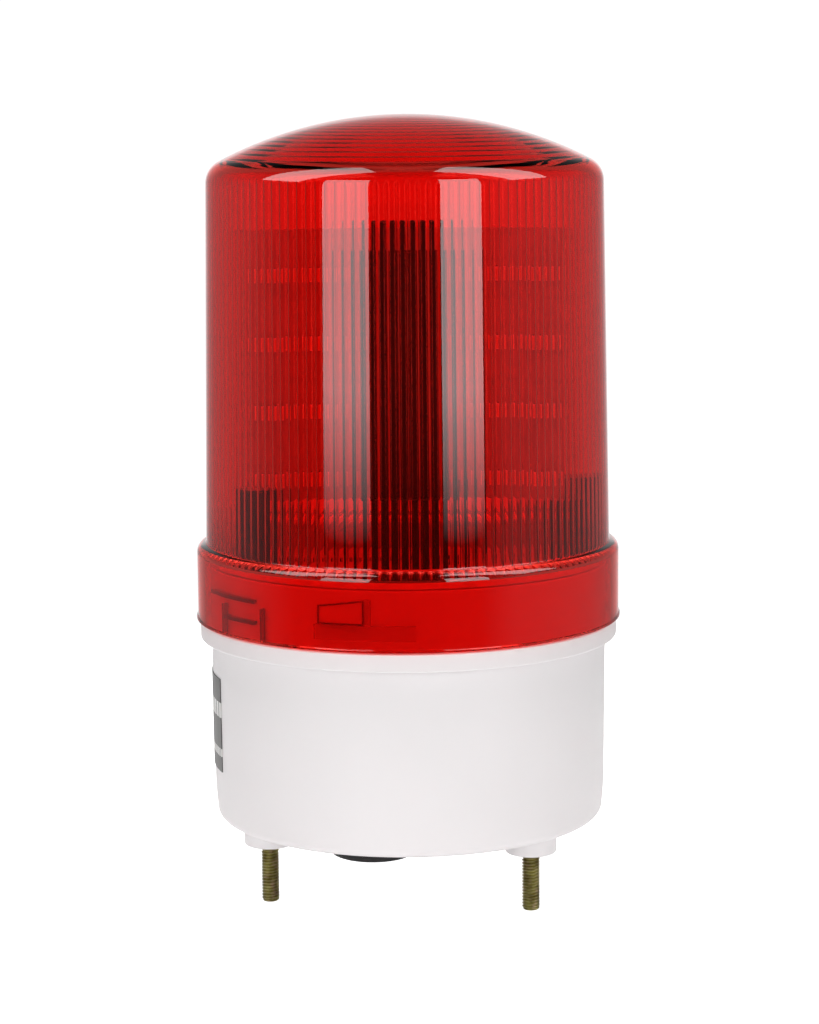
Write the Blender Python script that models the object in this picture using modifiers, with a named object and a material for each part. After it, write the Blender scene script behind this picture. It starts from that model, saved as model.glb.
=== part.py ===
"""Alarm siren: a red beacon lens on a white base that stands on three mounting bolts.

Frame: +Z up along the lens axis, origin under the middle of the bolt tips, front at -Y.
A bearing is an angle round the axis, in degrees, from the front towards the left (-X).
Sizes are in metres, written in millimetres times MM.
"""

import math

import bmesh
import bpy
from mathutils import Matrix, Vector

MM = 0.001
GAP = 0.3 * MM  # between two pieces that touch
SINK = 0.4 * MM  # how far a moulded-on feature reaches into its wall
SIDES = 64  # round the lens and the base
ROUND_SIDES = 40
SMALL_SIDES = 24
SCREW_SIDES = 16
EAR_HOLE_SIDES = 12

# Lens: dome, ledge and the skirt that twists onto the base
SKIRT_RADIUS = 47.5 * MM
SKIRT_WALL = 1.6 * MM
SKIRT_CORNER = 2.1 * MM
LIP_FLARE = 0.3 * MM
LIP_HEIGHT = 1.4 * MM
LEDGE_WALL = 2.0 * MM
LEDGE_WIDTH = 2.1 * MM
DOME_DRAFT = 1.3 * MM
DOME_HEIGHT = 94.8 * MM
CROWN_RADIUS = 89.2 * MM
SHOULDER_RADIUS = 5.5 * MM
LENS_WALL = 2.5 * MM

# Base housing
BASE_DEPTH = 41.1 * MM
BASE_OVERHANG = 3.0 * MM  # skirt beyond the top of the base wall
BASE_DRAFT = 0.3 * MM
BASE_BELLY = 0.6 * MM
BASE_BELLY_HEIGHT = 10.0 * MM
BASE_CORNER = 1.9 * MM
BASE_WALL = 2.2 * MM
FLOOR = 3.0 * MM
FLANGE_INSET = 0.5 * MM
FLANGE_THICKNESS = 4.0 * MM
COLLAR_HEIGHT = 13.2 * MM
COLLAR_WALL = 2.0 * MM

# Twist lock between the lens and the collar
LOCK_COUNT = 2
LOCK_SPACE = 1.3 * MM  # between the skirt's inner wall and the collar
LUG_FROM, LUG_TO = 12.0, 24.0
LUG_RISE_SHARE = 0.462  # of the collar's height, from the flange to the lug's underside
LUG_LOW_HEIGHT = 3.7 * MM
LUG_HIGH_HEIGHT = 5.0 * MM
CATCH_FROM, CATCH_TO = -2.0, 25.5
CATCH_HEIGHT = 3.2 * MM
STOP_WIDTH = 1.6  # degrees
STOP_SPACE = 0.4  # degrees from the stop to the lug
STOP_HEIGHT = 5.6 * MM
CAGE_RIGHT, CAGE_RIB_START, CAGE_LEFT, CAGE_END = 42.6, 45.4, 59.6, 67.0
CAGE_RIB = 0.8 * MM
CAGE_RIB_WIDTH = 1.1  # degrees
CAGE_LOW_RISE = 3.6 * MM  # over the skirt's lip
CAGE_HIGH_RISE = 8.2 * MM
CAGE_POST_HEIGHT = 6.8 * MM

# Seal under the lens
SEAL_HEIGHT = 1.6 * MM
SEAL_MARGIN = 0.2 * MM

# Mounting bolts, M4, and their bosses
BOLT_COUNT = 3
BOLT_BEARING = 68.3
BOLT_INSET = 9.6 * MM  # in from the foot of the base wall
BOLT_REACH = 13.1 * MM
BOLT_RADIUS = 1.95 * MM
BOLT_TIP_CORNER = 0.4 * MM
BOLT_HEAD_FLATS = 7.0 * MM
BOLT_HEAD_HEIGHT = 2.8 * MM
BOSS_RADIUS = 5.7 * MM
BOSS_HEIGHT = 4.8 * MM
BOSS_CORNER = 0.6 * MM

# Driver board and its pillars
BOARD_THICKNESS = 1.6 * MM
BOARD_MARGIN = 0.6 * MM
BOARD_DROP = 5.8 * MM  # board's underside below the collar's rim
PILLAR_BEARINGS = (100.0, 220.0, 340.0)
PILLAR_RADIUS = 4.4 * MM
PILLAR_INSET = 4.0 * MM
SCREW_RADIUS = 1.3 * MM
SCREW_LENGTH = 8.0 * MM
SCREW_HEAD_RADIUS = 2.8 * MM
SCREW_HEAD_HEIGHT = 2.0 * MM
PILOT_EXTRA = 1.0 * MM

# Lamp tower: a black core that holds three boards with lamps on both faces
CORE_RADIUS = 6.4 * MM
CORE_WALL = 2.0 * MM
CORE_FOOT_WIDTH = 2.5 * MM  # foot beyond the core
CORE_CAP = 1.2 * MM
GUIDE_LENGTH = 5.0 * MM
GUIDE_THICKNESS = 1.2 * MM
LAMP_BOARD_BEARINGS = (70.0, 180.0, 290.0)
LAMP_BOARD_THICKNESS = 1.6 * MM
LAMP_BOARD_LIFT = 18.5 * MM
LAMP_BOARD_HEADROOM = 9.9 * MM
LAMP_BOARD_MARGIN = 5.6 * MM  # to the inside of the lens
LAMP_ROWS = 4
LAMP_EDGE = 4.8 * MM  # lowest row over the board's edge
LAMP_TOP_EDGE = 10.0 * MM
LAMP_INSET = 5.6 * MM
LAMP_COLUMN_SHARE = 0.2925  # pitch of the columns over the board's width
LAMP_SIZE = (2.8 * MM, 3.5 * MM, 1.9 * MM)  # along the board, up, out of it

# Components on the driver board
CAPACITOR_RADIUS = 4.2 * MM
CAPACITOR_HEIGHT = 22.5 * MM
CAPACITOR_CORNER = 0.5 * MM
CAPACITOR_PLACES = ((57.5, 4.8 * MM), (276.5, 6.9 * MM))  # bearing, inset from the board's edge
CHOKE_SIZE = (13.0 * MM, 7.0 * MM, 14.0 * MM)
CHOKE_INSET = 8.6 * MM
CHOKE_SPACE = 2.4 * MM  # to the head of the screw beside it
TERMINAL_SIZE = (15.0 * MM, 8.0 * MM, 10.0 * MM)
TERMINAL_INSET = 12.0 * MM
TERMINAL_PORT_RADIUS = 1.6 * MM
TERMINAL_PORT_PITCH = 5.0 * MM
TERMINAL_PORT_FLOOR = 4.5 * MM
LEAD_RADIUS = 0.75 * MM
LEAD_SPACE_OUT = 3.0 * MM  # beyond the guides of its lamp board
LEAD_SPACE = 0.5 * MM  # to the faces of the lamps
LEAD_RISE = 22.6 * MM
LEAD_SWAY = 0.9 * MM

# Sounder in the floor
SOUNDER_BEARING = 19.6
SOUNDER_INSET = 17.5 * MM
NOSE_RADIUS = 9.5 * MM
NOSE_WALL = 1.6 * MM
NOSE_CORNER = 0.9 * MM
NOSE_CLEARANCE = 0.6 * MM  # above the plane of the boss faces
SOUND_HOLE_RADIUS = 3.0 * MM
SOUNDER_RADIUS = 13.0 * MM
SOUNDER_WALL = 1.2 * MM
SOUNDER_FLANGE = 1.5 * MM
SOUNDER_FLANGE_REACH = 2.0 * MM
SOUNDER_HEIGHT = 9.8 * MM
SOUNDER_SHELF = 2.8 * MM
DISC_THICKNESS = 0.5 * MM
BACK_THICKNESS = 1.5 * MM
BACK_WALL = 2.0 * MM
EAR_REACH = 17.5 * MM
EAR_WIDTH = 7.0 * MM
EAR_SCREW_RADIUS = 1.0 * MM
EAR_SCREW_DEPTH = 1.7 * MM
EAR_SCREW_HEAD_RADIUS = 2.2 * MM
EAR_SCREW_HEAD_HEIGHT = 1.6 * MM

# Cable grommet
GROMMET_BEARING = 147.5
GROMMET_INSET = 15.3 * MM
GROMMET_BORE = 3.5 * MM
GROMMET_HUB = 5.7 * MM
GROMMET_RIM = 8.0 * MM
GROMMET_RIM_TAPER = 0.8 * MM
GROMMET_RIM_HEIGHT = 1.6 * MM

# Label
LABEL_FROM, LABEL_TO = 70.0, 118.0
LABEL_RISE = 12.3 * MM
LABEL_HEIGHT = 21.2 * MM
LABEL_THICKNESS = 0.3 * MM

# Heights and radii that follow
BOSS_FACE_Z = BOLT_REACH
BASE_Z = BOSS_FACE_Z + BOSS_HEIGHT
FLOOR_Z = BASE_Z + FLOOR
FLANGE_Z = BASE_Z + BASE_DEPTH
FLANGE_TOP_Z = FLANGE_Z + FLANGE_THICKNESS
COLLAR_TOP_Z = FLANGE_TOP_Z + COLLAR_HEIGHT
LIP_Z = FLANGE_TOP_Z + GAP
SEAL_Z = COLLAR_TOP_Z + GAP
LEDGE_Z = SEAL_Z + SEAL_HEIGHT + GAP
DOME_Z = LEDGE_Z + LEDGE_WALL
APEX_Z = DOME_Z + DOME_HEIGHT
BOARD_Z = COLLAR_TOP_Z - BOARD_DROP
BOARD_TOP_Z = BOARD_Z + BOARD_THICKNESS
COMPONENT_Z = BOARD_TOP_Z + GAP
LAMP_BOARD_Z = BOARD_TOP_Z + LAMP_BOARD_LIFT
LUG_Z = FLANGE_TOP_Z + LUG_RISE_SHARE * COLLAR_HEIGHT
SOUNDER_Z = FLOOR_Z + GAP
SHELF_Z = SOUNDER_Z + SOUNDER_SHELF
SOUNDER_TOP_Z = SOUNDER_Z + SOUNDER_HEIGHT

SKIRT_INNER = SKIRT_RADIUS - SKIRT_WALL
COLLAR_RADIUS = SKIRT_INNER - LOCK_SPACE
COLLAR_INNER = COLLAR_RADIUS - COLLAR_WALL
FLANGE_RADIUS = SKIRT_RADIUS - FLANGE_INSET
BASE_RADIUS = SKIRT_RADIUS - BASE_OVERHANG
BASE_FOOT_RADIUS = BASE_RADIUS - BASE_DRAFT - BASE_BELLY
BASE_INNER = BASE_FOOT_RADIUS - BASE_WALL
DOME_FOOT_RADIUS = SKIRT_RADIUS - LEDGE_WIDTH
DOME_TOP_RADIUS = DOME_FOOT_RADIUS - DOME_DRAFT
BOARD_RADIUS = COLLAR_INNER - BOARD_MARGIN
BOLT_CIRCLE = BASE_FOOT_RADIUS - BOLT_INSET
PILLAR_CIRCLE = COLLAR_INNER - PILLAR_INSET
LAMP_BOARD_IN = CORE_RADIUS + GAP
LAMP_BOARD_OUT = DOME_TOP_RADIUS - LENS_WALL - LAMP_BOARD_MARGIN
LAMP_COLUMN_PITCH = LAMP_COLUMN_SHARE * (LAMP_BOARD_OUT - LAMP_BOARD_IN)
CORE_FOOT_RADIUS = CORE_RADIUS + CORE_FOOT_WIDTH
EAR_SCREW_HOLE = EAR_SCREW_RADIUS + GAP

CROWN_Z = APEX_Z - CROWN_RADIUS
SHOULDER_IN = DOME_TOP_RADIUS - SHOULDER_RADIUS
SHOULDER_Z = CROWN_Z + math.sqrt((CROWN_RADIUS - SHOULDER_RADIUS) ** 2 - SHOULDER_IN**2)
LAMP_BOARD_TOP_Z = SHOULDER_Z - LAMP_BOARD_HEADROOM
CORE_TOP_Z = LAMP_BOARD_TOP_Z + CORE_CAP


def clear_scene():
    for obj in list(bpy.data.objects):
        bpy.data.objects.remove(obj)


def new_collection(name, hidden=False):
    collection = bpy.data.collections.new(name)
    collection.hide_render = hidden
    bpy.context.scene.collection.children.link(collection)
    return collection


def plastic(name, colour, roughness=0.35, metallic=0.0, transmission=0.0):
    material = bpy.data.materials.new(name)
    material.use_nodes = True
    material.diffuse_color = (*colour, 1.0)
    shader = material.node_tree.nodes["Principled BSDF"]
    shader.inputs["Base Color"].default_value = (*colour, 1.0)
    shader.inputs["Roughness"].default_value = roughness
    shader.inputs["Metallic"].default_value = metallic
    shader.inputs["Transmission Weight"].default_value = transmission
    return material


def on_bearing(radius, bearing, z=0.0):
    """The point at this radius and bearing."""
    turn = math.radians(bearing)
    return Vector((-radius * math.sin(turn), -radius * math.cos(turn), z))


def facing(bearing):
    """The turn about Z that brings +X round to this bearing."""
    return math.radians(270.0 - bearing)


def add_object(name, mesh, collection, material=None):
    obj = bpy.data.objects.new(name, mesh)
    collection.objects.link(obj)
    if material:
        mesh.materials.append(material)
    return obj


def from_bmesh(name, bm, collection, material=None):
    bmesh.ops.recalc_face_normals(bm, faces=bm.faces)
    mesh = bpy.data.meshes.new(name)
    bm.to_mesh(mesh)
    bm.free()
    return add_object(name, mesh, collection, material)


def turned(name, outline, collection, material=None, closed=False, sides=SIDES):
    """A turned solid. The outline's (radius, z) points run down the outer side."""
    edges = [(i, i + 1) for i in range(len(outline) - 1)]
    if closed:
        edges.append((len(outline) - 1, 0))
    mesh = bpy.data.meshes.new(name)
    mesh.from_pydata([(radius, 0.0, z) for radius, z in outline], edges, [])
    obj = add_object(name, mesh, collection, material)
    screw = obj.modifiers.new("Turn", "SCREW")
    screw.axis = "Z"
    screw.steps = sides
    screw.render_steps = sides
    screw.use_merge_vertices = True
    screw.merge_threshold = 0.00001
    return obj


def arc_points(centre_r, centre_z, radius, start, end, count):
    """Points of an arc, its angles in degrees down from straight up."""
    points = []
    for i in range(count + 1):
        angle = math.radians(start + (end - start) * i / count)
        points.append((centre_r + radius * math.sin(angle), centre_z + radius * math.cos(angle)))
    return points


def add_cylinder(bm, radius, low, high, place=(0.0, 0.0), sides=SMALL_SIDES, turn=0.0):
    centre = Vector((place[0], place[1], (low + high) / 2))
    matrix = Matrix.Translation(centre) @ Matrix.Rotation(turn, 4, "Z")
    bmesh.ops.create_cone(
        bm, cap_ends=True, segments=sides, radius1=radius, radius2=radius, depth=high - low, matrix=matrix
    )


def add_box(bm, size, centre, turn=0.0):
    matrix = Matrix.Translation(centre) @ Matrix.Rotation(turn, 4, "Z") @ Matrix.Diagonal((*size, 1.0))
    bmesh.ops.create_cube(bm, size=1.0, matrix=matrix)


def add_arc_block(bm, inner, outer, low, high, start, end):
    """A curved block between two bearings."""
    corners = [on_bearing(inner, start, low), on_bearing(outer, start, low)]
    corners += [on_bearing(outer, start, high), on_bearing(inner, start, high)]
    face = bm.faces.new([bm.verts.new(corner) for corner in corners])
    steps = max(1, round(abs(end - start) / 5.0))
    angle = -math.radians(end - start)
    bmesh.ops.spin(bm, geom=[face], axis=(0, 0, 1), cent=(0, 0, 0), angle=angle, steps=steps)


def combine(target, tool, operation):
    tool.display_type = "WIRE"
    tool.hide_render = True
    boolean = target.modifiers.new(tool.name, "BOOLEAN")
    boolean.operation = operation
    boolean.solver = "EXACT"
    boolean.object = tool
    return target


def settle(obj):
    """Applies the modifiers and shades the round faces smooth."""
    graph = bpy.context.evaluated_depsgraph_get()
    mesh = bpy.data.meshes.new_from_object(obj.evaluated_get(graph))
    obj.modifiers.clear()
    obj.data = mesh
    mesh.shade_smooth()
    mesh.set_sharp_from_angle(angle=math.radians(30.0))


def base_wall_radius(z):
    """Outer radius of the base wall: a light draft, and a belly towards the floor."""
    down = (FLANGE_Z - z) / BASE_DEPTH
    belly = max(0.0, 1.0 - (z - BASE_Z) / BASE_BELLY_HEIGHT)
    return BASE_RADIUS - BASE_DRAFT * down - BASE_BELLY * belly**2


def dome_side(inset):
    """The dome's outline from apex to foot, at this depth inside the outer surface."""
    lean = math.degrees(math.asin(SHOULDER_IN / (CROWN_RADIUS - SHOULDER_RADIUS)))
    crown = arc_points(0.0, CROWN_Z, CROWN_RADIUS - inset, 0.0, lean, 7)
    shoulder = arc_points(SHOULDER_IN, SHOULDER_Z, SHOULDER_RADIUS - inset, lean, 90.0, 4)
    return crown + shoulder[1:]


def make_lens(parts, tools, material):
    outer = dome_side(0.0)
    outer.append((DOME_FOOT_RADIUS, DOME_Z))
    corner_r = SKIRT_RADIUS - SKIRT_CORNER
    outer += arc_points(corner_r, DOME_Z - SKIRT_CORNER, SKIRT_CORNER, 12.0, 90.0, 4)
    outer.append((SKIRT_RADIUS, LIP_Z + LIP_HEIGHT))
    outer.append((SKIRT_RADIUS + LIP_FLARE, LIP_Z + LIP_HEIGHT / 2))
    outer.append((SKIRT_RADIUS + LIP_FLARE, LIP_Z))
    inner = [(SKIRT_INNER, LIP_Z), (SKIRT_INNER, LEDGE_Z), (DOME_FOOT_RADIUS - LENS_WALL, LEDGE_Z)]
    lens = turned("lens_cover", outer + inner + dome_side(LENS_WALL)[::-1], parts, material)

    rib_in, rib_out = COLLAR_RADIUS + GAP, SKIRT_INNER + SINK
    catch_top = LUG_Z - GAP
    half = CAGE_RIB_WIDTH / 2
    level = bmesh.new()
    upright = bmesh.new()
    for i in range(LOCK_COUNT):
        turn = i * 360.0 / LOCK_COUNT
        catch_low = catch_top - CATCH_HEIGHT
        add_arc_block(level, rib_in, rib_out, catch_low, catch_top, turn + CATCH_FROM, turn + CATCH_TO)
        for rise, end in ((CAGE_LOW_RISE, CAGE_LEFT), (CAGE_HIGH_RISE, CAGE_END)):
            low = LIP_Z + rise
            start = turn + CAGE_RIB_START
            add_arc_block(level, rib_in, rib_out, low, low + CAGE_RIB, start, turn + end)
        stop_to = LUG_FROM - STOP_SPACE
        add_arc_block(
            upright, rib_in, rib_out, catch_top - SINK, catch_top + STOP_HEIGHT,
            turn + stop_to - STOP_WIDTH, turn + stop_to,
        )
        for bearing in (CAGE_RIGHT, CAGE_LEFT):
            add_arc_block(
                upright, rib_in, rib_out, LIP_Z + SINK, LIP_Z + CAGE_POST_HEIGHT,
                turn + bearing - half, turn + bearing + half,
            )
    combine(lens, from_bmesh("catch_ribs", level, tools), "UNION")
    combine(lens, from_bmesh("stop_ribs", upright, tools), "UNION")
    return lens


def make_seal(parts, material):
    low, high = SEAL_Z, SEAL_Z + SEAL_HEIGHT
    inner, outer = COLLAR_INNER + SEAL_MARGIN, COLLAR_RADIUS - SEAL_MARGIN
    outline = [(outer, high), (outer, low), (inner, low), (inner, high)]
    return turned("lens_seal", outline, parts, material, closed=True)


def bolt_places():
    return [on_bearing(BOLT_CIRCLE, BOLT_BEARING + i * 360.0 / BOLT_COUNT) for i in range(BOLT_COUNT)]


def pillar_places():
    return [on_bearing(PILLAR_CIRCLE, bearing) for bearing in PILLAR_BEARINGS]


def sounder_place():
    return on_bearing(BASE_INNER - SOUNDER_INSET, SOUNDER_BEARING)


def grommet_place():
    return on_bearing(BASE_INNER - GROMMET_INSET, GROMMET_BEARING)


def ear_places():
    return [sounder_place() + Vector((side * EAR_REACH, 0.0, 0.0)) for side in (-1, 1)]


def make_housing(parts, tools, material):
    wall_steps = 5
    corner_z = BASE_Z + BASE_CORNER
    outer = [(COLLAR_RADIUS, COLLAR_TOP_Z), (COLLAR_RADIUS, FLANGE_TOP_Z)]
    outer += [(FLANGE_RADIUS, FLANGE_TOP_Z), (FLANGE_RADIUS, FLANGE_Z)]
    for i in range(wall_steps):
        z = FLANGE_Z + (corner_z - FLANGE_Z) * (i / wall_steps) ** 0.6
        outer.append((base_wall_radius(z), z))
    foot = base_wall_radius(corner_z)
    outer += arc_points(foot - BASE_CORNER, corner_z, BASE_CORNER, 90.0, 180.0, 4)
    outer.append((0.0, BASE_Z))
    inner = [(0.0, FLOOR_Z), (BASE_INNER, FLOOR_Z), (COLLAR_INNER, FLANGE_Z), (COLLAR_INNER, COLLAR_TOP_Z)]
    housing = turned("base_housing", inner + outer, parts, material)

    bosses = bmesh.new()
    for place in bolt_places():
        centre = (place.x, place.y)
        add_cylinder(bosses, BOSS_RADIUS, BOSS_FACE_Z, BASE_Z + SINK, centre, SMALL_SIDES)
    face_edges = [edge for edge in bosses.edges if all(v.co.z < BOSS_FACE_Z + SINK for v in edge.verts)]
    bmesh.ops.bevel(bosses, geom=face_edges, offset=BOSS_CORNER, segments=2, affect="EDGES", profile=0.5)
    combine(housing, from_bmesh("bosses", bosses, tools), "UNION")

    pillars = bmesh.new()
    for place in pillar_places():
        add_cylinder(pillars, PILLAR_RADIUS, FLOOR_Z - SINK, BOARD_Z - GAP, (place.x, place.y), SMALL_SIDES)
    combine(housing, from_bmesh("pillars", pillars, tools), "UNION")

    lugs = bmesh.new()
    for i in range(LOCK_COUNT):
        turn = i * 360.0 / LOCK_COUNT
        add_arc_block(
            lugs, COLLAR_RADIUS - SINK, SKIRT_INNER - GAP, LUG_Z, LUG_Z + LUG_LOW_HEIGHT,
            turn + LUG_FROM, turn + LUG_TO,
        )
    for vertex in lugs.verts:
        if vertex.co.z > LUG_Z + SINK:
            bearing = math.degrees(math.atan2(-vertex.co.x, -vertex.co.y)) % (360.0 / LOCK_COUNT)
            lift = (LUG_TO - bearing) / (LUG_TO - LUG_FROM)
            vertex.co.z += (LUG_HIGH_HEIGHT - LUG_LOW_HEIGHT) * lift
    combine(housing, from_bmesh("lock_lugs", lugs, tools), "UNION")

    holes = bmesh.new()
    for place in bolt_places():
        centre = (place.x, place.y)
        top = FLOOR_Z - BOLT_HEAD_HEIGHT
        add_cylinder(holes, BOLT_RADIUS + GAP, BOSS_FACE_Z - SINK, top, centre, SMALL_SIDES)
    low = BOARD_Z - (SCREW_LENGTH - BOARD_THICKNESS + PILOT_EXTRA)
    for place in pillar_places():
        centre = (place.x, place.y)
        add_cylinder(holes, SCREW_RADIUS + GAP, low, BOARD_Z + SINK, centre, SCREW_SIDES)
    low = FLOOR_Z - EAR_SCREW_DEPTH - GAP
    for place in ear_places():
        add_cylinder(holes, EAR_SCREW_HOLE, low, FLOOR_Z + SINK, (place.x, place.y), EAR_HOLE_SIDES)
    sounder, grommet = sounder_place(), grommet_place()
    low, high = BASE_Z - SINK, FLOOR_Z + SINK
    add_cylinder(holes, NOSE_RADIUS + GAP, low, high, (sounder.x, sounder.y), ROUND_SIDES)
    add_cylinder(holes, GROMMET_HUB + GAP, low, high, (grommet.x, grommet.y), SMALL_SIDES)
    combine(housing, from_bmesh("housing_holes", holes, tools), "DIFFERENCE")

    pockets = bmesh.new()
    pocket_radius = (BOLT_HEAD_FLATS / 2 + GAP) / math.cos(math.radians(30.0))
    pocket_z = FLOOR_Z - BOLT_HEAD_HEIGHT - 2 * GAP
    for place in bolt_places():
        add_cylinder(pockets, pocket_radius, pocket_z, FLOOR_Z + SINK, (place.x, place.y), 6)
    combine(housing, from_bmesh("head_pockets", pockets, tools), "DIFFERENCE")
    return housing


def make_bolts(parts, tools, material):
    """Hex-head bolts whose heads lie in pockets in the floor. Each stands on its own tip."""
    shank = bmesh.new()
    head_z = FLOOR_Z - BOLT_HEAD_HEIGHT - GAP
    add_cylinder(shank, BOLT_RADIUS, 0.0, head_z + SINK, sides=SMALL_SIDES)
    tip_edges = [edge for edge in shank.edges if all(v.co.z < SINK for v in edge.verts)]
    bmesh.ops.bevel(shank, geom=tip_edges, offset=BOLT_TIP_CORNER, segments=1, affect="EDGES")
    bolt = from_bmesh("mounting_bolt_1", shank, parts, material)
    head = bmesh.new()
    head_radius = BOLT_HEAD_FLATS / 2 / math.cos(math.radians(30.0))
    add_cylinder(head, head_radius, head_z, head_z + BOLT_HEAD_HEIGHT, sides=6)
    combine(bolt, from_bmesh("bolt_head", head, tools), "UNION")
    settle(bolt)
    place_copies(bolt, bolt_places(), 0.0, parts)


def make_driver_board(parts, tools, material):
    plate = bmesh.new()
    add_cylinder(plate, BOARD_RADIUS, BOARD_Z, BOARD_TOP_Z, sides=SIDES)
    board = from_bmesh("driver_board", plate, parts, material)
    holes = bmesh.new()
    for place in pillar_places():
        centre = (place.x, place.y)
        add_cylinder(holes, SCREW_RADIUS + GAP, BOARD_Z - SINK, BOARD_TOP_Z + SINK, centre, SCREW_SIDES)
    grommet = grommet_place()
    centre = (grommet.x, grommet.y)
    add_cylinder(holes, GROMMET_BORE, BOARD_Z - SINK, BOARD_TOP_Z + SINK, centre)
    combine(board, from_bmesh("board_holes", holes, tools), "DIFFERENCE")
    return board


def pan_screw(name, radius, length, head_radius, head_height, parts, material):
    """A pan-head screw, its origin under its head."""
    top = head_height
    outline = [(0.0, top), (head_radius * 0.7, top), (head_radius, top * 0.55), (head_radius, 0.0)]
    outline += [(radius, 0.0), (radius, -length + radius), (radius * 0.4, -length), (0.0, -length)]
    screw = turned(name, outline, parts, material, sides=SCREW_SIDES)
    settle(screw)
    return screw


def place_copies(first, places, z, parts):
    """Puts the first piece at the first place and a copy of it at each other place."""
    stem = first.name.rsplit("_", 1)[0]
    first.location = Vector((places[0].x, places[0].y, z))
    for i, place in enumerate(places[1:], start=2):
        copy = bpy.data.objects.new(f"{stem}_{i}", first.data)
        parts.objects.link(copy)
        copy.location = Vector((place.x, place.y, z))


def make_tower(parts, tools, core_material, board_material):
    bore = CORE_RADIUS - CORE_WALL
    foot_top = LAMP_BOARD_Z - GAP
    outline = [(CORE_RADIUS, CORE_TOP_Z), (CORE_RADIUS, foot_top), (CORE_FOOT_RADIUS, foot_top)]
    outline += [(CORE_FOOT_RADIUS, COMPONENT_Z), (bore, COMPONENT_Z), (bore, CORE_TOP_Z)]
    core = turned("tower_core", outline, parts, core_material, closed=True, sides=32)
    guides = bmesh.new()
    offset = LAMP_BOARD_THICKNESS / 2 + GAP + GUIDE_THICKNESS / 2
    guide_in = bore + CORE_WALL / 2
    guide_out = CORE_RADIUS + GUIDE_LENGTH
    low, high = foot_top - SINK, LAMP_BOARD_TOP_Z - LAMP_TOP_EDGE / 2
    for bearing in LAMP_BOARD_BEARINGS:
        turn = facing(bearing)
        along = Vector((math.cos(turn), math.sin(turn), 0.0))
        across = Vector((-math.sin(turn), math.cos(turn), 0.0))
        for side in (-1, 1):
            centre = along * (guide_in + guide_out) / 2 + across * side * offset
            centre.z = (low + high) / 2
            add_box(guides, (guide_out - guide_in, GUIDE_THICKNESS, high - low), centre, turn)
    combine(core, from_bmesh("board_guides", guides, tools), "UNION")

    first = make_lamp_board(parts, tools, board_material)
    settle(first)
    for i, bearing in enumerate(LAMP_BOARD_BEARINGS, start=1):
        board = first if i == 1 else bpy.data.objects.new(f"lamp_board_{i}", first.data)
        if i > 1:
            parts.objects.link(board)
        board.rotation_euler = (0.0, 0.0, facing(bearing))


def make_lamp_board(parts, tools, material):
    """A board along +X from the tower's axis, with its lamps on both faces."""
    plate = bmesh.new()
    size = (LAMP_BOARD_OUT - LAMP_BOARD_IN, LAMP_BOARD_THICKNESS, LAMP_BOARD_TOP_Z - LAMP_BOARD_Z)
    middle = Vector(((LAMP_BOARD_OUT + LAMP_BOARD_IN) / 2, 0.0, (LAMP_BOARD_TOP_Z + LAMP_BOARD_Z) / 2))
    add_box(plate, size, middle)
    board = from_bmesh("lamp_board_1", plate, parts, material)
    lamps = bmesh.new()
    length, height, depth = LAMP_SIZE
    pitch = (size[2] - LAMP_EDGE - LAMP_TOP_EDGE) / (LAMP_ROWS - 1)
    for side in (-1, 1):
        out = side * (LAMP_BOARD_THICKNESS / 2 + (depth - SINK) / 2)
        for row in range(LAMP_ROWS):
            for column in range(2):
                x = LAMP_BOARD_OUT - LAMP_INSET - column * LAMP_COLUMN_PITCH
                z = LAMP_BOARD_Z + LAMP_EDGE + row * pitch
                add_box(lamps, (length, depth + SINK, height), Vector((x, out, z)))
    return combine(board, from_bmesh("lamps", lamps, tools), "UNION")


def make_components(parts, tools, materials):
    sleeve = [(0.0, CAPACITOR_HEIGHT), (CAPACITOR_RADIUS - CAPACITOR_CORNER, CAPACITOR_HEIGHT)]
    sleeve += [(CAPACITOR_RADIUS, CAPACITOR_HEIGHT - CAPACITOR_CORNER), (CAPACITOR_RADIUS, 0.0), (0.0, 0.0)]
    capacitor = turned("capacitor_1", sleeve, parts, materials["black"], sides=SMALL_SIDES)
    settle(capacitor)
    places = [on_bearing(BOARD_RADIUS - inset, bearing) for bearing, inset in CAPACITOR_PLACES]
    place_copies(capacitor, places, COMPONENT_Z, parts)

    choke_r = BOARD_RADIUS - CHOKE_INSET
    past_screw = math.degrees((CHOKE_SIZE[0] / 2 + CHOKE_SPACE + SCREW_HEAD_RADIUS) / choke_r)
    for i, pillar_bearing in enumerate(PILLAR_BEARINGS[:2], start=1):
        bearing = pillar_bearing + past_screw
        block = bmesh.new()
        add_box(block, CHOKE_SIZE, Vector((0.0, 0.0, CHOKE_SIZE[2] / 2)))
        choke = from_bmesh(f"choke_{i}", block, parts, materials["dark"])
        choke.location = on_bearing(choke_r, bearing, COMPONENT_Z)
        choke.rotation_euler = (0.0, 0.0, facing(bearing) + math.pi / 2)

    block = bmesh.new()
    add_box(block, TERMINAL_SIZE, Vector((0.0, 0.0, TERMINAL_SIZE[2] / 2)))
    terminal = from_bmesh("supply_terminal", block, parts, materials["green"])
    ports = bmesh.new()
    for side in (-0.5, 0.5):
        centre = (side * TERMINAL_PORT_PITCH, 0.0)
        high = TERMINAL_SIZE[2] + SINK
        add_cylinder(ports, TERMINAL_PORT_RADIUS, TERMINAL_PORT_FLOOR, high, centre, SCREW_SIDES)
    combine(terminal, from_bmesh("terminal_ports", ports, tools), "DIFFERENCE")
    settle(terminal)
    terminal_place = on_bearing(BOARD_RADIUS - TERMINAL_INSET, 180.0, COMPONENT_Z)
    terminal.location = terminal_place
    tools.objects["terminal_ports"].location = terminal_place


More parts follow.
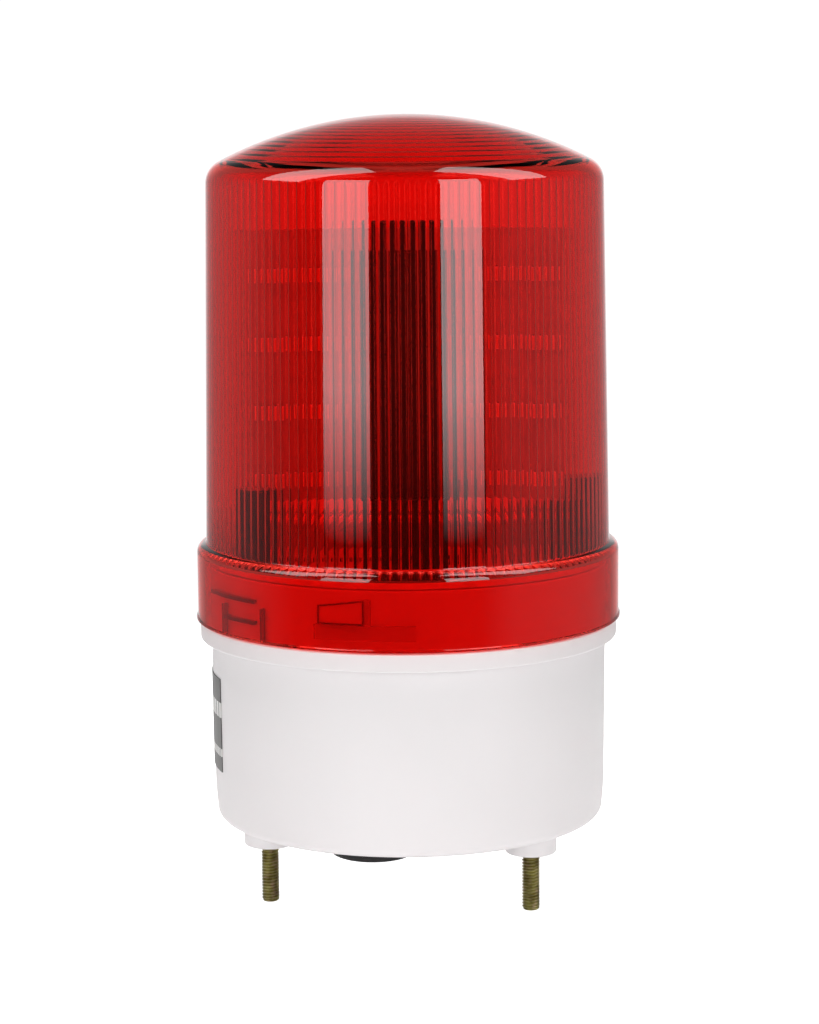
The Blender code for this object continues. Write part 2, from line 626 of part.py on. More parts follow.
def make_lead(parts, material):
    """The black lead that climbs from the driver board, in front of the right-hand lamp board."""
    bearing = LAMP_BOARD_BEARINGS[-1]
    along = CORE_RADIUS + GUIDE_LENGTH + LEAD_SPACE_OUT
    across = LAMP_BOARD_THICKNESS / 2 + LAMP_SIZE[2] + LEAD_SPACE + LEAD_RADIUS
    foot = on_bearing(along, bearing, COMPONENT_Z) + on_bearing(across, bearing + 90.0)
    curve = bpy.data.curves.new("lamp_lead", "CURVE")
    curve.dimensions = "3D"
    curve.bevel_depth = LEAD_RADIUS
    curve.bevel_resolution = 2
    curve.use_fill_caps = True
    spline = curve.splines.new("POLY")
    count = 9
    spline.points.add(count - 1)
    for i in range(count):
        share = i / (count - 1)
        sway = LEAD_SWAY * math.sin(share * 2 * math.pi)
        point = foot + Vector((sway, -sway / 2, share * LEAD_RISE))
        spline.points[i].co = (*point, 1.0)
    curve.materials.append(material)
    lead = bpy.data.objects.new("lamp_lead", curve)
    parts.objects.link(lead)
    return lead


def make_sounder(parts, tools, materials):
    nose_z = BOSS_FACE_Z + NOSE_CLEARANCE
    flange_r = SOUNDER_RADIUS + SOUNDER_FLANGE_REACH
    cup = SOUNDER_RADIUS - SOUNDER_WALL
    chamber = NOSE_RADIUS - NOSE_WALL
    flange_top = SOUNDER_Z + SOUNDER_FLANGE
    outline = [(SOUNDER_RADIUS, SOUNDER_TOP_Z), (SOUNDER_RADIUS, flange_top), (flange_r, flange_top)]
    outline += [(flange_r, SOUNDER_Z), (NOSE_RADIUS, SOUNDER_Z)]
    outline += arc_points(NOSE_RADIUS - NOSE_CORNER, nose_z + NOSE_CORNER, NOSE_CORNER, 90.0, 180.0, 2)
    outline += [(SOUND_HOLE_RADIUS, nose_z), (SOUND_HOLE_RADIUS, nose_z + NOSE_WALL)]
    outline += [(chamber, nose_z + NOSE_WALL), (chamber, SHELF_Z), (cup, SHELF_Z), (cup, SOUNDER_TOP_Z)]
    body = turned("sounder_body", outline, parts, materials["black"], closed=True, sides=ROUND_SIDES)
    ears = bmesh.new()
    holes = bmesh.new()
    for side in (-1, 1):
        inner, outer = cup + SINK, EAR_REACH + EAR_WIDTH / 2
        centre = Vector((side * (inner + outer) / 2, 0.0, SOUNDER_Z + SOUNDER_FLANGE / 2))
        add_box(ears, (outer - inner, EAR_WIDTH, SOUNDER_FLANGE), centre)
        low, high = SOUNDER_Z - SINK, flange_top + SINK
        add_cylinder(holes, EAR_SCREW_HOLE, low, high, (side * EAR_REACH, 0.0), EAR_HOLE_SIDES)
    combine(body, from_bmesh("sounder_ears", ears, tools), "UNION")
    combine(body, from_bmesh("ear_holes", holes, tools), "DIFFERENCE")
    settle(body)

    disc_r, disc_z = cup - GAP, SHELF_Z + GAP
    disc_top = disc_z + DISC_THICKNESS
    disc = turned(
        "sounder_disc", [(0.0, disc_top), (disc_r, disc_top), (disc_r, disc_z), (0.0, disc_z)],
        parts, materials["brass"], sides=32,
    )
    rim_z = SOUNDER_TOP_Z + GAP
    back_outline = [(0.0, rim_z + BACK_THICKNESS), (SOUNDER_RADIUS, rim_z + BACK_THICKNESS)]
    back_outline += [(SOUNDER_RADIUS, rim_z), (disc_r, rim_z), (disc_r, disc_top + GAP)]
    back_outline += [(disc_r - BACK_WALL, disc_top + GAP), (disc_r - BACK_WALL, rim_z), (0.0, rim_z)]
    back = turned("sounder_back", back_outline, parts, materials["black"], sides=32)
    for piece in (body, disc, back, tools.objects["sounder_ears"], tools.objects["ear_holes"]):
        piece.location = sounder_place()

    length = GAP + SOUNDER_FLANGE + EAR_SCREW_DEPTH + GAP
    screw = pan_screw(
        "sounder_screw_1", EAR_SCREW_RADIUS, length, EAR_SCREW_HEAD_RADIUS, EAR_SCREW_HEAD_HEIGHT,
        parts, materials["steel"],
    )
    place_copies(screw, ear_places(), flange_top + GAP, parts)


def make_grommet(parts, material):
    under, over = BASE_Z - GAP, FLOOR_Z + GAP
    tail = GROMMET_RIM - GROMMET_RIM_TAPER
    outline = [(tail, over + GROMMET_RIM_HEIGHT), (GROMMET_RIM, over), (GROMMET_HUB, over)]
    outline += [(GROMMET_HUB, under), (GROMMET_RIM, under), (tail, under - GROMMET_RIM_HEIGHT)]
    outline += [(GROMMET_BORE, under - GROMMET_RIM_HEIGHT), (GROMMET_BORE, over + GROMMET_RIM_HEIGHT)]
    grommet = turned("cable_grommet", outline, parts, material, closed=True, sides=SMALL_SIDES)
    grommet.location = grommet_place()
    return grommet


def make_label(parts, material):
    low = BASE_Z + LABEL_RISE
    high = low + LABEL_HEIGHT
    plate = bmesh.new()
    add_arc_block(plate, 1.0, 1.0 + LABEL_THICKNESS, low, high, LABEL_FROM, LABEL_TO)
    for vertex in plate.verts:
        flat = Vector((vertex.co.x, vertex.co.y))
        radius = flat.length - 1.0 + base_wall_radius(vertex.co.z) + GAP
        flat = flat.normalized() * radius
        vertex.co.x, vertex.co.y = flat
    return from_bmesh("label_plate", plate, parts, material)


def main():
    clear_scene()
    parts = new_collection("alarm_siren")
    tools = new_collection("cutters", hidden=True)
    materials = {
        "red": plastic("red_polycarbonate", (0.78, 0.02, 0.01), roughness=0.05, transmission=0.8),
        "white": plastic("white_abs", (0.80, 0.79, 0.79), roughness=0.4),
        "black": plastic("black_abs", (0.02, 0.02, 0.02), roughness=0.5),
        "rubber": plastic("black_rubber", (0.03, 0.03, 0.03), roughness=0.8),
        "dark": plastic("dark_potting", (0.05, 0.04, 0.05), roughness=0.45),
        "green": plastic("green_nylon", (0.05, 0.30, 0.12), roughness=0.5),
        "board": plastic("circuit_board", (0.03, 0.08, 0.05), roughness=0.45),
        "lamp": plastic("white_circuit_board", (0.85, 0.84, 0.80), roughness=0.35),
        "yellow": plastic("yellow_zinc_steel", (0.45, 0.36, 0.16), roughness=0.35, metallic=1.0),
        "steel": plastic("zinc_steel", (0.60, 0.60, 0.62), roughness=0.3, metallic=1.0),
        "brass": plastic("brass_disc", (0.75, 0.58, 0.25), roughness=0.3, metallic=1.0),
        "label": plastic("label_film", (0.09, 0.09, 0.085), roughness=0.5),
    }
    settle(make_lens(parts, tools, materials["red"]))
    settle(make_seal(parts, materials["rubber"]))
    settle(make_housing(parts, tools, materials["white"]))
    make_bolts(parts, tools, materials["yellow"])
    settle(make_driver_board(parts, tools, materials["board"]))
    board_screw = pan_screw(
        "board_screw_1", SCREW_RADIUS, SCREW_LENGTH, SCREW_HEAD_RADIUS, SCREW_HEAD_HEIGHT,
        parts, materials["steel"],
    )
    place_copies(board_screw, pillar_places(), BOARD_TOP_Z + GAP, parts)
    make_tower(parts, tools, materials["black"], materials["lamp"])
    settle(parts.objects["tower_core"])
    make_components(parts, tools, materials)
    make_lead(parts, materials["black"])
    make_sounder(parts, tools, materials)
    make_grommet(parts, materials["rubber"])
    make_label(parts, materials["label"])


main()
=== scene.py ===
"""Alarm siren: the looks of a red beacon lens on a white base that stands on three mounting bolts.

It is laid out as an add-on and run as a script. Sizes are in metres, +Z is up along the lens axis,
and the front is at -Y. A bearing is an angle round the axis, in degrees, from the front towards -X.
"""

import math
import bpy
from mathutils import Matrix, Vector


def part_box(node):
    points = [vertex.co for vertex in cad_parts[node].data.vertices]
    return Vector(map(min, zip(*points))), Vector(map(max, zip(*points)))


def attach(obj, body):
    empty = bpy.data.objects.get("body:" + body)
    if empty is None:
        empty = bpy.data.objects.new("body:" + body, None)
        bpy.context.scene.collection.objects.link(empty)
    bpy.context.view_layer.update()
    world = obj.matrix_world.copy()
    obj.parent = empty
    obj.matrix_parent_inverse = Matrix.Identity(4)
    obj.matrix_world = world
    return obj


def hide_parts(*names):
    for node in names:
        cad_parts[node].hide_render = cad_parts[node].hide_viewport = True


bl_info = {
    "name": "Alarm Siren",
    "version": (1, 0, 0),
    "blender": (4, 5, 0),
    "location": "3D View > Sidebar > Siren",
    "description": "Makes the looks of an alarm siren round its CAD frame",
    "category": "Object",
}

import bmesh
import bpy
from bpy.props import FloatProperty, FloatVectorProperty, IntProperty, PointerProperty
from mathutils import Matrix, Vector

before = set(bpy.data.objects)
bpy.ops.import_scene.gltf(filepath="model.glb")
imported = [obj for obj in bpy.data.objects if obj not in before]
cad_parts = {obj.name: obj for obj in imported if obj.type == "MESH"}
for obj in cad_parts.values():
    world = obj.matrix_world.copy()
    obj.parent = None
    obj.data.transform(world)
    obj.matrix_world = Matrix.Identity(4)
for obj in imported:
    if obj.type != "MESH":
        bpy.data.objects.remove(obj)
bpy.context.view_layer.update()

MM = 0.001
PER_MM = 1000.0  # a texture's scale is this over its pattern's size in millimetres
ROUND = 240  # columns round the lens and the base
FLUTE_COLUMNS = 12  # columns across one flute
FLUTE_NUDGE = 0.0005  # share of a flute that keeps the edge columns off the jump between two flutes
SINK = 0.4 * MM  # how far a moulded-on feature reaches into its wall
OVERLAP = 0.05 * MM  # how far a small piece reaches into the one that it stands on

# Heights that the frame gives
BOSS_FACE_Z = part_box("base_housing")[0].z
COLLAR_TOP_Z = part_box("base_housing")[1].z
LIP_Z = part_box("lens_cover")[0].z
APEX_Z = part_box("lens_cover")[1].z
BOARD_TOP_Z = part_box("driver_board")[1].z
BASE_Z = BOSS_FACE_Z + 4.8 * MM
FLOOR_Z = BASE_Z + 3.0 * MM
FLANGE_Z = BASE_Z + 41.1 * MM
FLANGE_TOP_Z = FLANGE_Z + 4.0 * MM
LEDGE_Z = COLLAR_TOP_Z + 2.2 * MM
DOME_Z = LEDGE_Z + 2.0 * MM

# Radii of the lens and the base
SKIRT_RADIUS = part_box("lens_cover")[1].x - 0.3 * MM
SKIRT_INNER = SKIRT_RADIUS - 1.6 * MM
DOME_FOOT_RADIUS = SKIRT_RADIUS - 2.1 * MM
DOME_TOP_RADIUS = DOME_FOOT_RADIUS - 1.3 * MM
LENS_WALL = 2.5 * MM
COLLAR_RADIUS = SKIRT_INNER - 1.3 * MM
COLLAR_INNER = COLLAR_RADIUS - 2.0 * MM
FLANGE_RADIUS = SKIRT_RADIUS - 0.5 * MM
BASE_RADIUS = SKIRT_RADIUS - 3.0 * MM
BASE_DRAFT = 0.3 * MM
BASE_BELLY = 0.6 * MM
BASE_INNER = BASE_RADIUS - BASE_DRAFT - BASE_BELLY - 2.2 * MM

# The lock lugs on the collar
LUG_Z = FLANGE_TOP_Z + 6.1 * MM
LUG_FROM, LUG_TO = 12.0, 24.0

# The lock ribs inside the skirt: heights over its lip, and bearings
CATCH_TOP, CATCH_FROM, CATCH_TO = 5.5 * MM, -2.0, 25.5
STOP_FROM, STOP_TO = 10.0, 11.6
CAGE_POSTS = ((42.6, 7.4 * MM), (59.6, 6.8 * MM))
CAGE_POST_HALF = 0.35
CAGE_RAILS = ((4.4 * MM, 59.0), (9.0 * MM, 67.0))
CAGE_RAIL_FROM = 45.4

# The crown is a shallow ball, and a small arc joins it to the side
CROWN_RADIUS = 89.2 * MM
SHOULDER_RADIUS = 5.5 * MM
CROWN_Z = APEX_Z - CROWN_RADIUS
SHOULDER_IN = DOME_TOP_RADIUS - SHOULDER_RADIUS
SHOULDER_Z = CROWN_Z + math.sqrt((CROWN_RADIUS - SHOULDER_RADIUS) ** 2 - SHOULDER_IN**2)
CROWN_LEAN = math.degrees(math.asin(SHOULDER_IN / (CROWN_RADIUS - SHOULDER_RADIUS)))

LAMP_BEARINGS = (70.0, 180.0, 290.0)
LAMP_BOARD_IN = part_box("lamp_board_2")[0].y
LAMP_BOARD_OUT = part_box("lamp_board_2")[1].y
LAMP_BOARD_LOW, LAMP_BOARD_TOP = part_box("lamp_board_2")[0].z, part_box("lamp_board_2")[1].z
LAMP_BOARD_THICKNESS = 1.6 * MM
LABEL_LOW, LABEL_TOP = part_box("label_plate")[0].z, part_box("label_plate")[1].z
LABEL_FROM, LABEL_TO = 70.0, 118.0
BASE_BODY, LENS_BODY = "base", "lens"
BOLTS = ("mounting_bolt_1", "mounting_bolt_2", "mounting_bolt_3")
BOARD_SCREWS = ("board_screw_1", "board_screw_2", "board_screw_3")
SOUNDER_SCREWS = ("sounder_screw_1", "sounder_screw_2")
LAMP_BOARDS = ("lamp_board_1", "lamp_board_2", "lamp_board_3")


# --- small helpers ---


def linear(hex_colour):
    """An sRGB hex colour as linear RGBA."""
    parts = [int(hex_colour[i : i + 2], 16) / 255 for i in (1, 3, 5)]
    return (*[p / 12.92 if p <= 0.04045 else ((p + 0.055) / 1.055) ** 2.4 for p in parts], 1.0)


def length(name, description, default_mm, most_mm=200.0):
    return FloatProperty(
        name=name, description=description, default=default_mm * MM, min=0.0, max=most_mm * MM,
        precision=5, subtype="DISTANCE", unit="LENGTH",
    )


def power(name, description, default):
    return FloatProperty(name=name, description=description, default=default, min=0.0, unit="POWER")


def colour(name, description, default):
    return FloatVectorProperty(
        name=name, description=description, default=linear(default), size=4, min=0.0, max=1.0,
        subtype="COLOR",
    )


def add_node(tree, kind, inputs=None, **settings):
    """Adds a node, sets it, and fills its inputs with values or links."""
    node = tree.nodes.new(kind)
    for name, value in settings.items():
        setattr(node, name, value)
    for key, value in (inputs or {}).items():
        if isinstance(value, bpy.types.NodeSocket):
            tree.links.new(value, node.inputs[key])
        else:
            node.inputs[key].default_value = value
    return node


def through(tree, value, *sums):
    """Takes a value through a row of sums, each given as its operation and its other inputs."""
    for operation, *others in sums:
        inputs = dict(enumerate((value, *others)))
        value = add_node(tree, "ShaderNodeMath", inputs, operation=operation).outputs[0]
    return value


def centre_of(node):
    low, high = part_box(node)
    return (low + high) / 2


def on_bearing(radius, bearing, z=0.0):
    """The point at this radius and bearing."""
    turn = math.radians(bearing)
    return Vector((-radius * math.sin(turn), -radius * math.cos(turn), z))


def facing(bearing):
    """The turn about Z that brings +X round to this bearing."""
    return math.radians(270.0 - bearing)


def arc(centre_r, centre_z, radius, start, end, count):
    """(radius, z) points of an arc, its angles in degrees down from straight up."""
    points = []
    for i in range(count + 1):
        angle = math.radians(start + (end - start) * i / count)
        points.append((centre_r + radius * math.sin(angle), centre_z + radius * math.cos(angle)))
    return points


def braced(points, gap=0.12 * MM, least=1.5 * MM):
    """The same outline with a point just inside each end of a long side, which keeps its shading flat."""
    rows = [points[0]]
    for first, second in zip(points, points[1:]):
        across = math.dist(first, second)
        if across > least:
            for share in (gap / across, 1.0 - gap / across):
                rows.append(tuple(a + (b - a) * share for a, b in zip(first, second)))
        rows.append(second)
    return rows


def object_of(name, mesh, *materials):
    obj = bpy.data.objects.new(name, mesh)
    bpy.context.scene.collection.objects.link(obj)
    for material in materials:
        mesh.materials.append(material)
    return obj


def smoothed(mesh, sharp=35.0):
    """Shades the mesh smooth but for edges sharper than this angle."""
    mesh.shade_smooth()
    mesh.set_sharp_from_angle(angle=math.radians(sharp))


def from_bmesh(name, bm, *materials):
    """A smoothed object of this bmesh."""
    mesh = bpy.data.meshes.new(name)
    bm.to_mesh(mesh)
    bm.free()
    smoothed(mesh)
    return object_of(name, mesh, *materials)


def add_turned(bm, rows, columns=ROUND, closed=True, start=0.0, place=(0.0, 0.0), flag=None):
    """Turns (radius, z[, columns[, flagged]]) rows into a surface, with more columns where a row asks."""
    rings = []
    for row in rows:
        count = row[2] if len(row) > 2 else columns
        if row[0] < 1e-7:
            ring = [bm.verts.new((place[0], place[1], row[1]))]
        else:
            ring = []
            for i in range(count):
                turn = start + 2 * math.pi * i / count
                x, y = row[0] * math.cos(turn), row[0] * math.sin(turn)
                ring.append(bm.verts.new((place[0] + x, place[1] + y, row[1])))
        if flag is not None:
            for vertex in ring:
                vertex[flag] = 1.0 if len(row) > 3 and row[3] else 0.0
        rings.append(ring)
    pairs = list(zip(rings, rings[1:]))
    if closed:
        pairs.append((rings[-1], rings[0]))
    faces = []
    for first, second in pairs:
        few, many = sorted((first, second), key=len)
        if len(few) == 1:
            if len(many) > 1:
                for i in range(len(many)):
                    faces.append(bm.faces.new((few[0], many[i], many[(i + 1) % len(many)])))
            continue
        step = len(many) // len(few)
        for i in range(len(few)):
            span = [many[(i * step + k) % len(many)] for k in range(step + 1)]
            faces.append(bm.faces.new([few[(i + 1) % len(few)], few[i], *span]))
    bmesh.ops.recalc_face_normals(bm, faces=faces)
    return faces


def add_cylinder(bm, radius, low, high, place=(0.0, 0.0), columns=48):
    rows = [(0.0, high), (radius, high), (radius, low), (0.0, low)]
    return add_turned(bm, rows, columns, closed=False, place=place)


def add_post(bm, node, radius, low, high, columns=48):
    """A cylinder on the axis of a CAD node."""
    place = centre_of(node)
    return add_cylinder(bm, radius, low, high, (place.x, place.y), columns)


def add_block(bm, size, matrix, bevel=0.0, segments=2):
    """A block with rounded edges, its centre and turn given by the matrix."""
    made = bmesh.ops.create_cube(bm, size=1.0, matrix=matrix @ Matrix.Diagonal((*size, 1.0)))
    faces = list({face for vertex in made["verts"] for face in vertex.link_faces})
    if bevel:
        edges = list({edge for vertex in made["verts"] for edge in vertex.link_edges})
        cut = bmesh.ops.bevel(bm, geom=edges, offset=bevel, segments=segments, affect="EDGES", profile=0.5)
        faces = list({face for vertex in cut["verts"] for face in vertex.link_faces})
    return faces


def add_arc_block(bm, inner, outer, low, high, start, end, high_end=None, low_end=None):
    """A curved block between two bearings, which may be higher or lower at the last one."""
    steps = max(2, round(abs(end - start)))
    high_end = high if high_end is None else high_end
    low_end = low if low_end is None else low_end
    rings = []
    for i in range(steps + 1):
        share = i / steps
        bearing, top = start + (end - start) * share, high + (high_end - high) * share
        foot = low + (low_end - low) * share
        corners = ((inner, foot), (outer, foot), (outer, top), (inner, top))
        rings.append([bm.verts.new(on_bearing(radius, bearing, z)) for radius, z in corners])
    faces = [bm.faces.new(rings[0]), bm.faces.new(rings[-1][::-1])]
    for first, second in zip(rings, rings[1:]):
        for k in range(4):
            faces.append(bm.faces.new((first[k], second[k], second[(k + 1) % 4], first[(k + 1) % 4])))
    bmesh.ops.recalc_face_normals(bm, faces=faces)
    return faces


def plain_mesh(obj):
    """The object's evaluated mesh in place of its modifiers."""
    graph = bpy.context.evaluated_depsgraph_get()
    mesh = bpy.data.meshes.new_from_object(obj.evaluated_get(graph))
    obj.modifiers.clear()
    obj.data = mesh
    return obj


def boolean(obj, tool, operation):
    """Joins or cuts obj with the tool, which is then removed."""
    modifier = obj.modifiers.new(operation.title(), "BOOLEAN")
    modifier.operation = operation
    modifier.solver = "EXACT"
    modifier.object = tool
    plain_mesh(obj)
    bpy.data.objects.remove(tool)


def new_tree(name, *sizes):
    """A Geometry Nodes tree with a Geometry input and the named (kind, name) inputs after it."""
    tree = bpy.data.node_groups.new(name, "GeometryNodeTree")
    tree.interface.new_socket("Geometry", in_out="INPUT", socket_type="NodeSocketGeometry")
    for kind, label in sizes:
        tree.interface.new_socket(label, in_out="INPUT", socket_type="NodeSocket" + kind)
    tree.interface.new_socket("Geometry", in_out="OUTPUT", socket_type="NodeSocketGeometry")
    return tree, add_node(tree, "NodeGroupInput").outputs


def end_tree(tree, geometry, material=None):
    """Ends the tree in Realize Instances and Set Material."""
    real = add_node(tree, "GeometryNodeRealizeInstances", {"Geometry": geometry})
    last = real.outputs[0]
    if material is not None:
        inputs = {"Geometry": last, "Material": material}
        last = add_node(tree, "GeometryNodeSetMaterial", inputs).outputs[0]
    add_node(tree, "NodeGroupOutput", {"Geometry": last})


def grown(obj, tree, values):
    """Runs a Geometry Nodes tree on obj with these named inputs, and keeps the plain mesh."""
    modifier = obj.modifiers.new(tree.name, "NODES")
    modifier.node_group = tree
    for item in tree.interface.items_tree:
        if item.item_type == "SOCKET" and item.in_out == "INPUT" and item.name in values:
            modifier[item.identifier] = values[item.name]
    return plain_mesh(obj)


def settle(piece, body, slot, *replaced):
    """Fastens a finished piece to its body and hides the CAD parts that it stands for."""
    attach(piece, body)
    if replaced:
        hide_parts(*replaced)
    return piece


def finish_node(name, material):
    """Gives a CAD node its finish."""
    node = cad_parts[name]
    if not node.material_slots:
        node.data.materials.append(material)
    for material_slot in node.material_slots:
        material_slot.material = material


# --- finishes ---


def new_material(name, **values):
    """A material with its Principled shader's sockets set. Returns it, its tree, shader and coordinates."""
    material = bpy.data.materials.new(name)
    material.use_nodes = True
    tree = material.node_tree
    shader = tree.nodes["Principled BSDF"]
    for socket, value in values.items():
        shader.inputs[socket.replace("_", " ")].default_value = value
    place = add_node(tree, "ShaderNodeTexCoord").outputs["Object"]
    return material, tree, shader, place


def speckle(tree, place, size_mm, detail=2.0):
    """Noise whose blobs are about this size."""
    inputs = {"Vector": place, "Scale": PER_MM / size_mm, "Detail": detail}
    return add_node(tree, "ShaderNodeTexNoise", inputs).outputs["Fac"]


def between(tree, factor, low, high, start=0.3, end=0.7):
    """The factor's range start to end, stretched over low to high."""
    inputs = {"Value": factor, "From Min": start, "From Max": end, "To Min": low, "To Max": high}
    return add_node(tree, "ShaderNodeMapRange", inputs).outputs["Result"]


def mixed_colour(tree, factor, first, second):
    inputs = {0: factor, 6: first, 7: second}
    return add_node(tree, "ShaderNodeMix", inputs, data_type="RGBA").outputs[2]


def bumped(tree, shader, height, strength, distance_mm):
    inputs = {"Height": height, "Strength": strength, "Distance": distance_mm * MM}
    tree.links.new(add_node(tree, "ShaderNodeBump", inputs).outputs["Normal"], shader.inputs["Normal"])


def pass_light(tree, shader, tint):
    """Lets light through a clear surface onto what is behind it, half tinted at each surface."""
    tint = [channel**0.5 for channel in tint[:3]] + [1.0]
    clear = add_node(tree, "ShaderNodeBsdfTransparent", {"Color": tint})
    shadow = add_node(tree, "ShaderNodeLightPath").outputs["Is Shadow Ray"]
    both = add_node(tree, "ShaderNodeMixShader", {0: shadow, 1: shader.outputs[0], 2: clear.outputs[0]})
    tree.links.new(both.outputs[0], tree.nodes["Material Output"].inputs["Surface"])


def two_toned(name, tones, patch, relief, grain, **sockets):
    """A material with two tones that drift into each other, over a fine relief. patch is the blobs'
    size in mm, their detail and two levels of the noise, relief the depth's strength and mm, and
    grain the fine noise's size in mm and its detail. Returns it and what more it may need."""
    material, tree, shader, place = new_material(name, **sockets)
    size, detail, start, end = patch
    drift = between(tree, speckle(tree, place, size, detail), 0.0, 1.0, start, end)
    tree.links.new(mixed_colour(tree, drift, *tones), shader.inputs["Base Color"])
    fine = speckle(tree, place, *grain)
    bumped(tree, shader, fine, *relief)
    return material, tree, shader, drift, fine


def clear_red_polycarbonate(settings):
    """Polycarbonate, injection moulded and clear red: glossy, with a faint waviness where the melt
    flowed, which bends the edges of reflections."""
    material, tree, shader, place = new_material(
        "clear_red_polycarbonate", IOR=1.585, Roughness=0.0, Transmission_Weight=1.0,
        Base_Color=tuple(settings.lens_colour),
    )
    bumped(tree, shader, speckle(tree, place, 16.0, 1.0), 0.25, 0.012)
    pass_light(tree, shader, settings.lens_colour)
    return material


def rib_red(name, tint):
    """The lens's polycarbonate where a rib thickens it. Its edges bend the light, so a rib shows as
    lines. A deep rib is tinted darker than the wall: painted shade for the dark lines that it shows."""
    material, tree, shader, place = new_material(
        name, IOR=1.585, Roughness=0.02, Transmission_Weight=1.0, Base_Color=tint,
    )
    bumped(tree, shader, speckle(tree, place, 3.0, 1.0), 0.1, 0.01)
    return material, tree, shader


def faint_red_rib(settings):
    tint = [0.9 + channel / 10 for channel in settings.lens_colour[:3]] + [1.0]
    material, tree, shader = rib_red("thin_red_polycarbonate_rib", tint)
    pass_light(tree, shader, tint)
    return material


def painted_shade_rib(settings):
    # A darker copy of the lens colour: painted shade for the dark lines of the cage ribs and the lug frame
    tint = [channel * 0.55 for channel in settings.lens_colour[:3]] + [1.0]
    return rib_red("painted_shade_red_rib", tint)[0]


def white_abs(settings):
    """ABS, moulded in a spark-eroded tool: a fine satin grain, and a slight cloudiness in the white."""
    shade = [channel * 0.965 for channel in settings.housing_colour[:3]] + [1.0]
    # Spark grain is about 0.05 mm and is drawn at 0.35 mm, so that it shows
    material, tree, shader, _, grain = two_toned(
        "white_moulded_abs", (tuple(settings.housing_colour), shade), (30.0, 1.0, 0.3, 0.7), (0.12, 0.02),
        (0.35, 3.0), IOR=1.53, Specular_IOR_Level=0.45,
    )
    tree.links.new(between(tree, grain, 0.36, 0.50), shader.inputs["Roughness"])
    return material


def black_abs():
    """Black ABS, moulded: satin, with a painted highlight that makes it a little greyer on the grain's
    raised tops.
    """
    # The tone follows the same noise as the relief, so the raised grain is painted lighter: painted
    # highlight
    material, tree, shader, _, grain = two_toned(
        "black_abs_grain_highlight", (linear("#0B0B0C"), linear("#141415")), (0.4, 3.0, 0.3, 0.7), (0.2, 0.02),
        (0.4, 3.0), IOR=1.53, Specular_IOR_Level=0.3,
    )
    tree.links.new(between(tree, grain, 0.38, 0.55), shader.inputs["Roughness"])
    return material


def white_rubber():
    """Silicone rubber, compression moulded: matt, translucent white, a little uneven."""
    tones = (linear("#E9E6E0"), linear("#DAD6CE"))
    return two_toned(
        "white_silicone_rubber", tones, (3.0, 3.0, 0.3, 0.7), (0.2, 0.02), (0.3, 2.0), IOR=1.41,
        Roughness=0.6, Subsurface_Weight=0.15, Subsurface_Scale=1.0 * MM,
    )[0]


def black_rubber():
    """Nitrile rubber, compression moulded: matt, with a dusty bloom."""
    material, tree, shader, bloom, _ = two_toned(
        "moulded_nitrile_rubber", (linear("#161616"), linear("#2B2A29")), (3.0, 4.0, 0.4, 0.75),
        (0.3, 0.02), (0.3, 2.0), IOR=1.52,
    )
    tree.links.new(between(tree, bloom, 0.68, 0.9, 0.0, 1.0), shader.inputs["Roughness"])
    return material


def yellow_zinc(settings):
    """Steel, zinc plated and yellow chromated: olive and brown film colours that drift over the
    thread, with a rosy cast here and there."""
    material, tree, shader, place = new_material("yellow_chromated_steel", Metallic=1.0)
    film = between(tree, speckle(tree, place, 2.4, 2.0), 0.0, 1.0, 0.35, 0.65)
    rose = between(tree, speckle(tree, place, 1.5, 1.0), 0.0, 0.5, 0.52, 0.7)
    tone = mixed_colour(tree, film, tuple(settings.olive), tuple(settings.brown))
    tone = mixed_colour(tree, rose, tone, linear("#A98E84"))
    tree.links.new(tone, shader.inputs["Base Color"])
    grain = speckle(tree, place, 0.25, 2.0)
    tree.links.new(between(tree, grain, 0.25, 0.42), shader.inputs["Roughness"])
    bumped(tree, shader, grain, 0.15, 0.01)
    return material


def plated_metal(name, bright, dull):
    """A rolled or turned metal, bright plated: fine marks across it, and dulled where handled."""
    material, tree, shader, handled, _ = two_toned(
        name, (linear(bright), linear(dull)), (3.0, 3.0, 0.3, 0.7), (0.12, 0.01), (0.2, 2.0), Metallic=1.0,
    )
    tree.links.new(between(tree, handled, 0.22, 0.42, 0.0, 1.0), shader.inputs["Roughness"])
    return material


def circuit_board(name, mask, copper, pad_size_mm):
    """Glass-epoxy board under solder mask: slightly glossy, its copper pours standing proud under
    the mask as lighter islands with dark gaps between."""
    material, tree, shader, place = new_material(name, IOR=1.5)
    flat = add_node(tree, "ShaderNodeMapping", {"Vector": place, "Scale": (1.0, 1.0, 0.8)}).outputs[0]
    inputs = {"Vector": flat, "Scale": PER_MM / pad_size_mm, "Randomness": 0.7}
    cells = add_node(tree, "ShaderNodeTexVoronoi", inputs, feature="DISTANCE_TO_EDGE")
    pour = between(tree, cells.outputs["Distance"], 0.0, 1.0, 0.04, 0.09)
    tone = mixed_colour(tree, pour, linear(mask), linear(copper))
    tree.links.new(tone, shader.inputs["Base Color"])
    tree.links.new(between(tree, speckle(tree, place, 0.8, 2.0), 0.25, 0.4), shader.inputs["Roughness"])
    bumped(tree, shader, pour, 0.4, 0.035)
    return material


def plain_moulding(name, first, second, grain_mm, rough):
    """A small moulded or cast part: two close tones, and a fine uneven surface."""
    material, tree, shader, patch, _ = two_toned(
        name, (linear(first), linear(second)), (4.0 * grain_mm, 3.0, 0.3, 0.7), (0.15, 0.02),
        (grain_mm, 2.0), IOR=1.5,
    )
    tree.links.new(between(tree, patch, rough, rough + 0.15, 0.0, 1.0), shader.inputs["Roughness"])
    return material


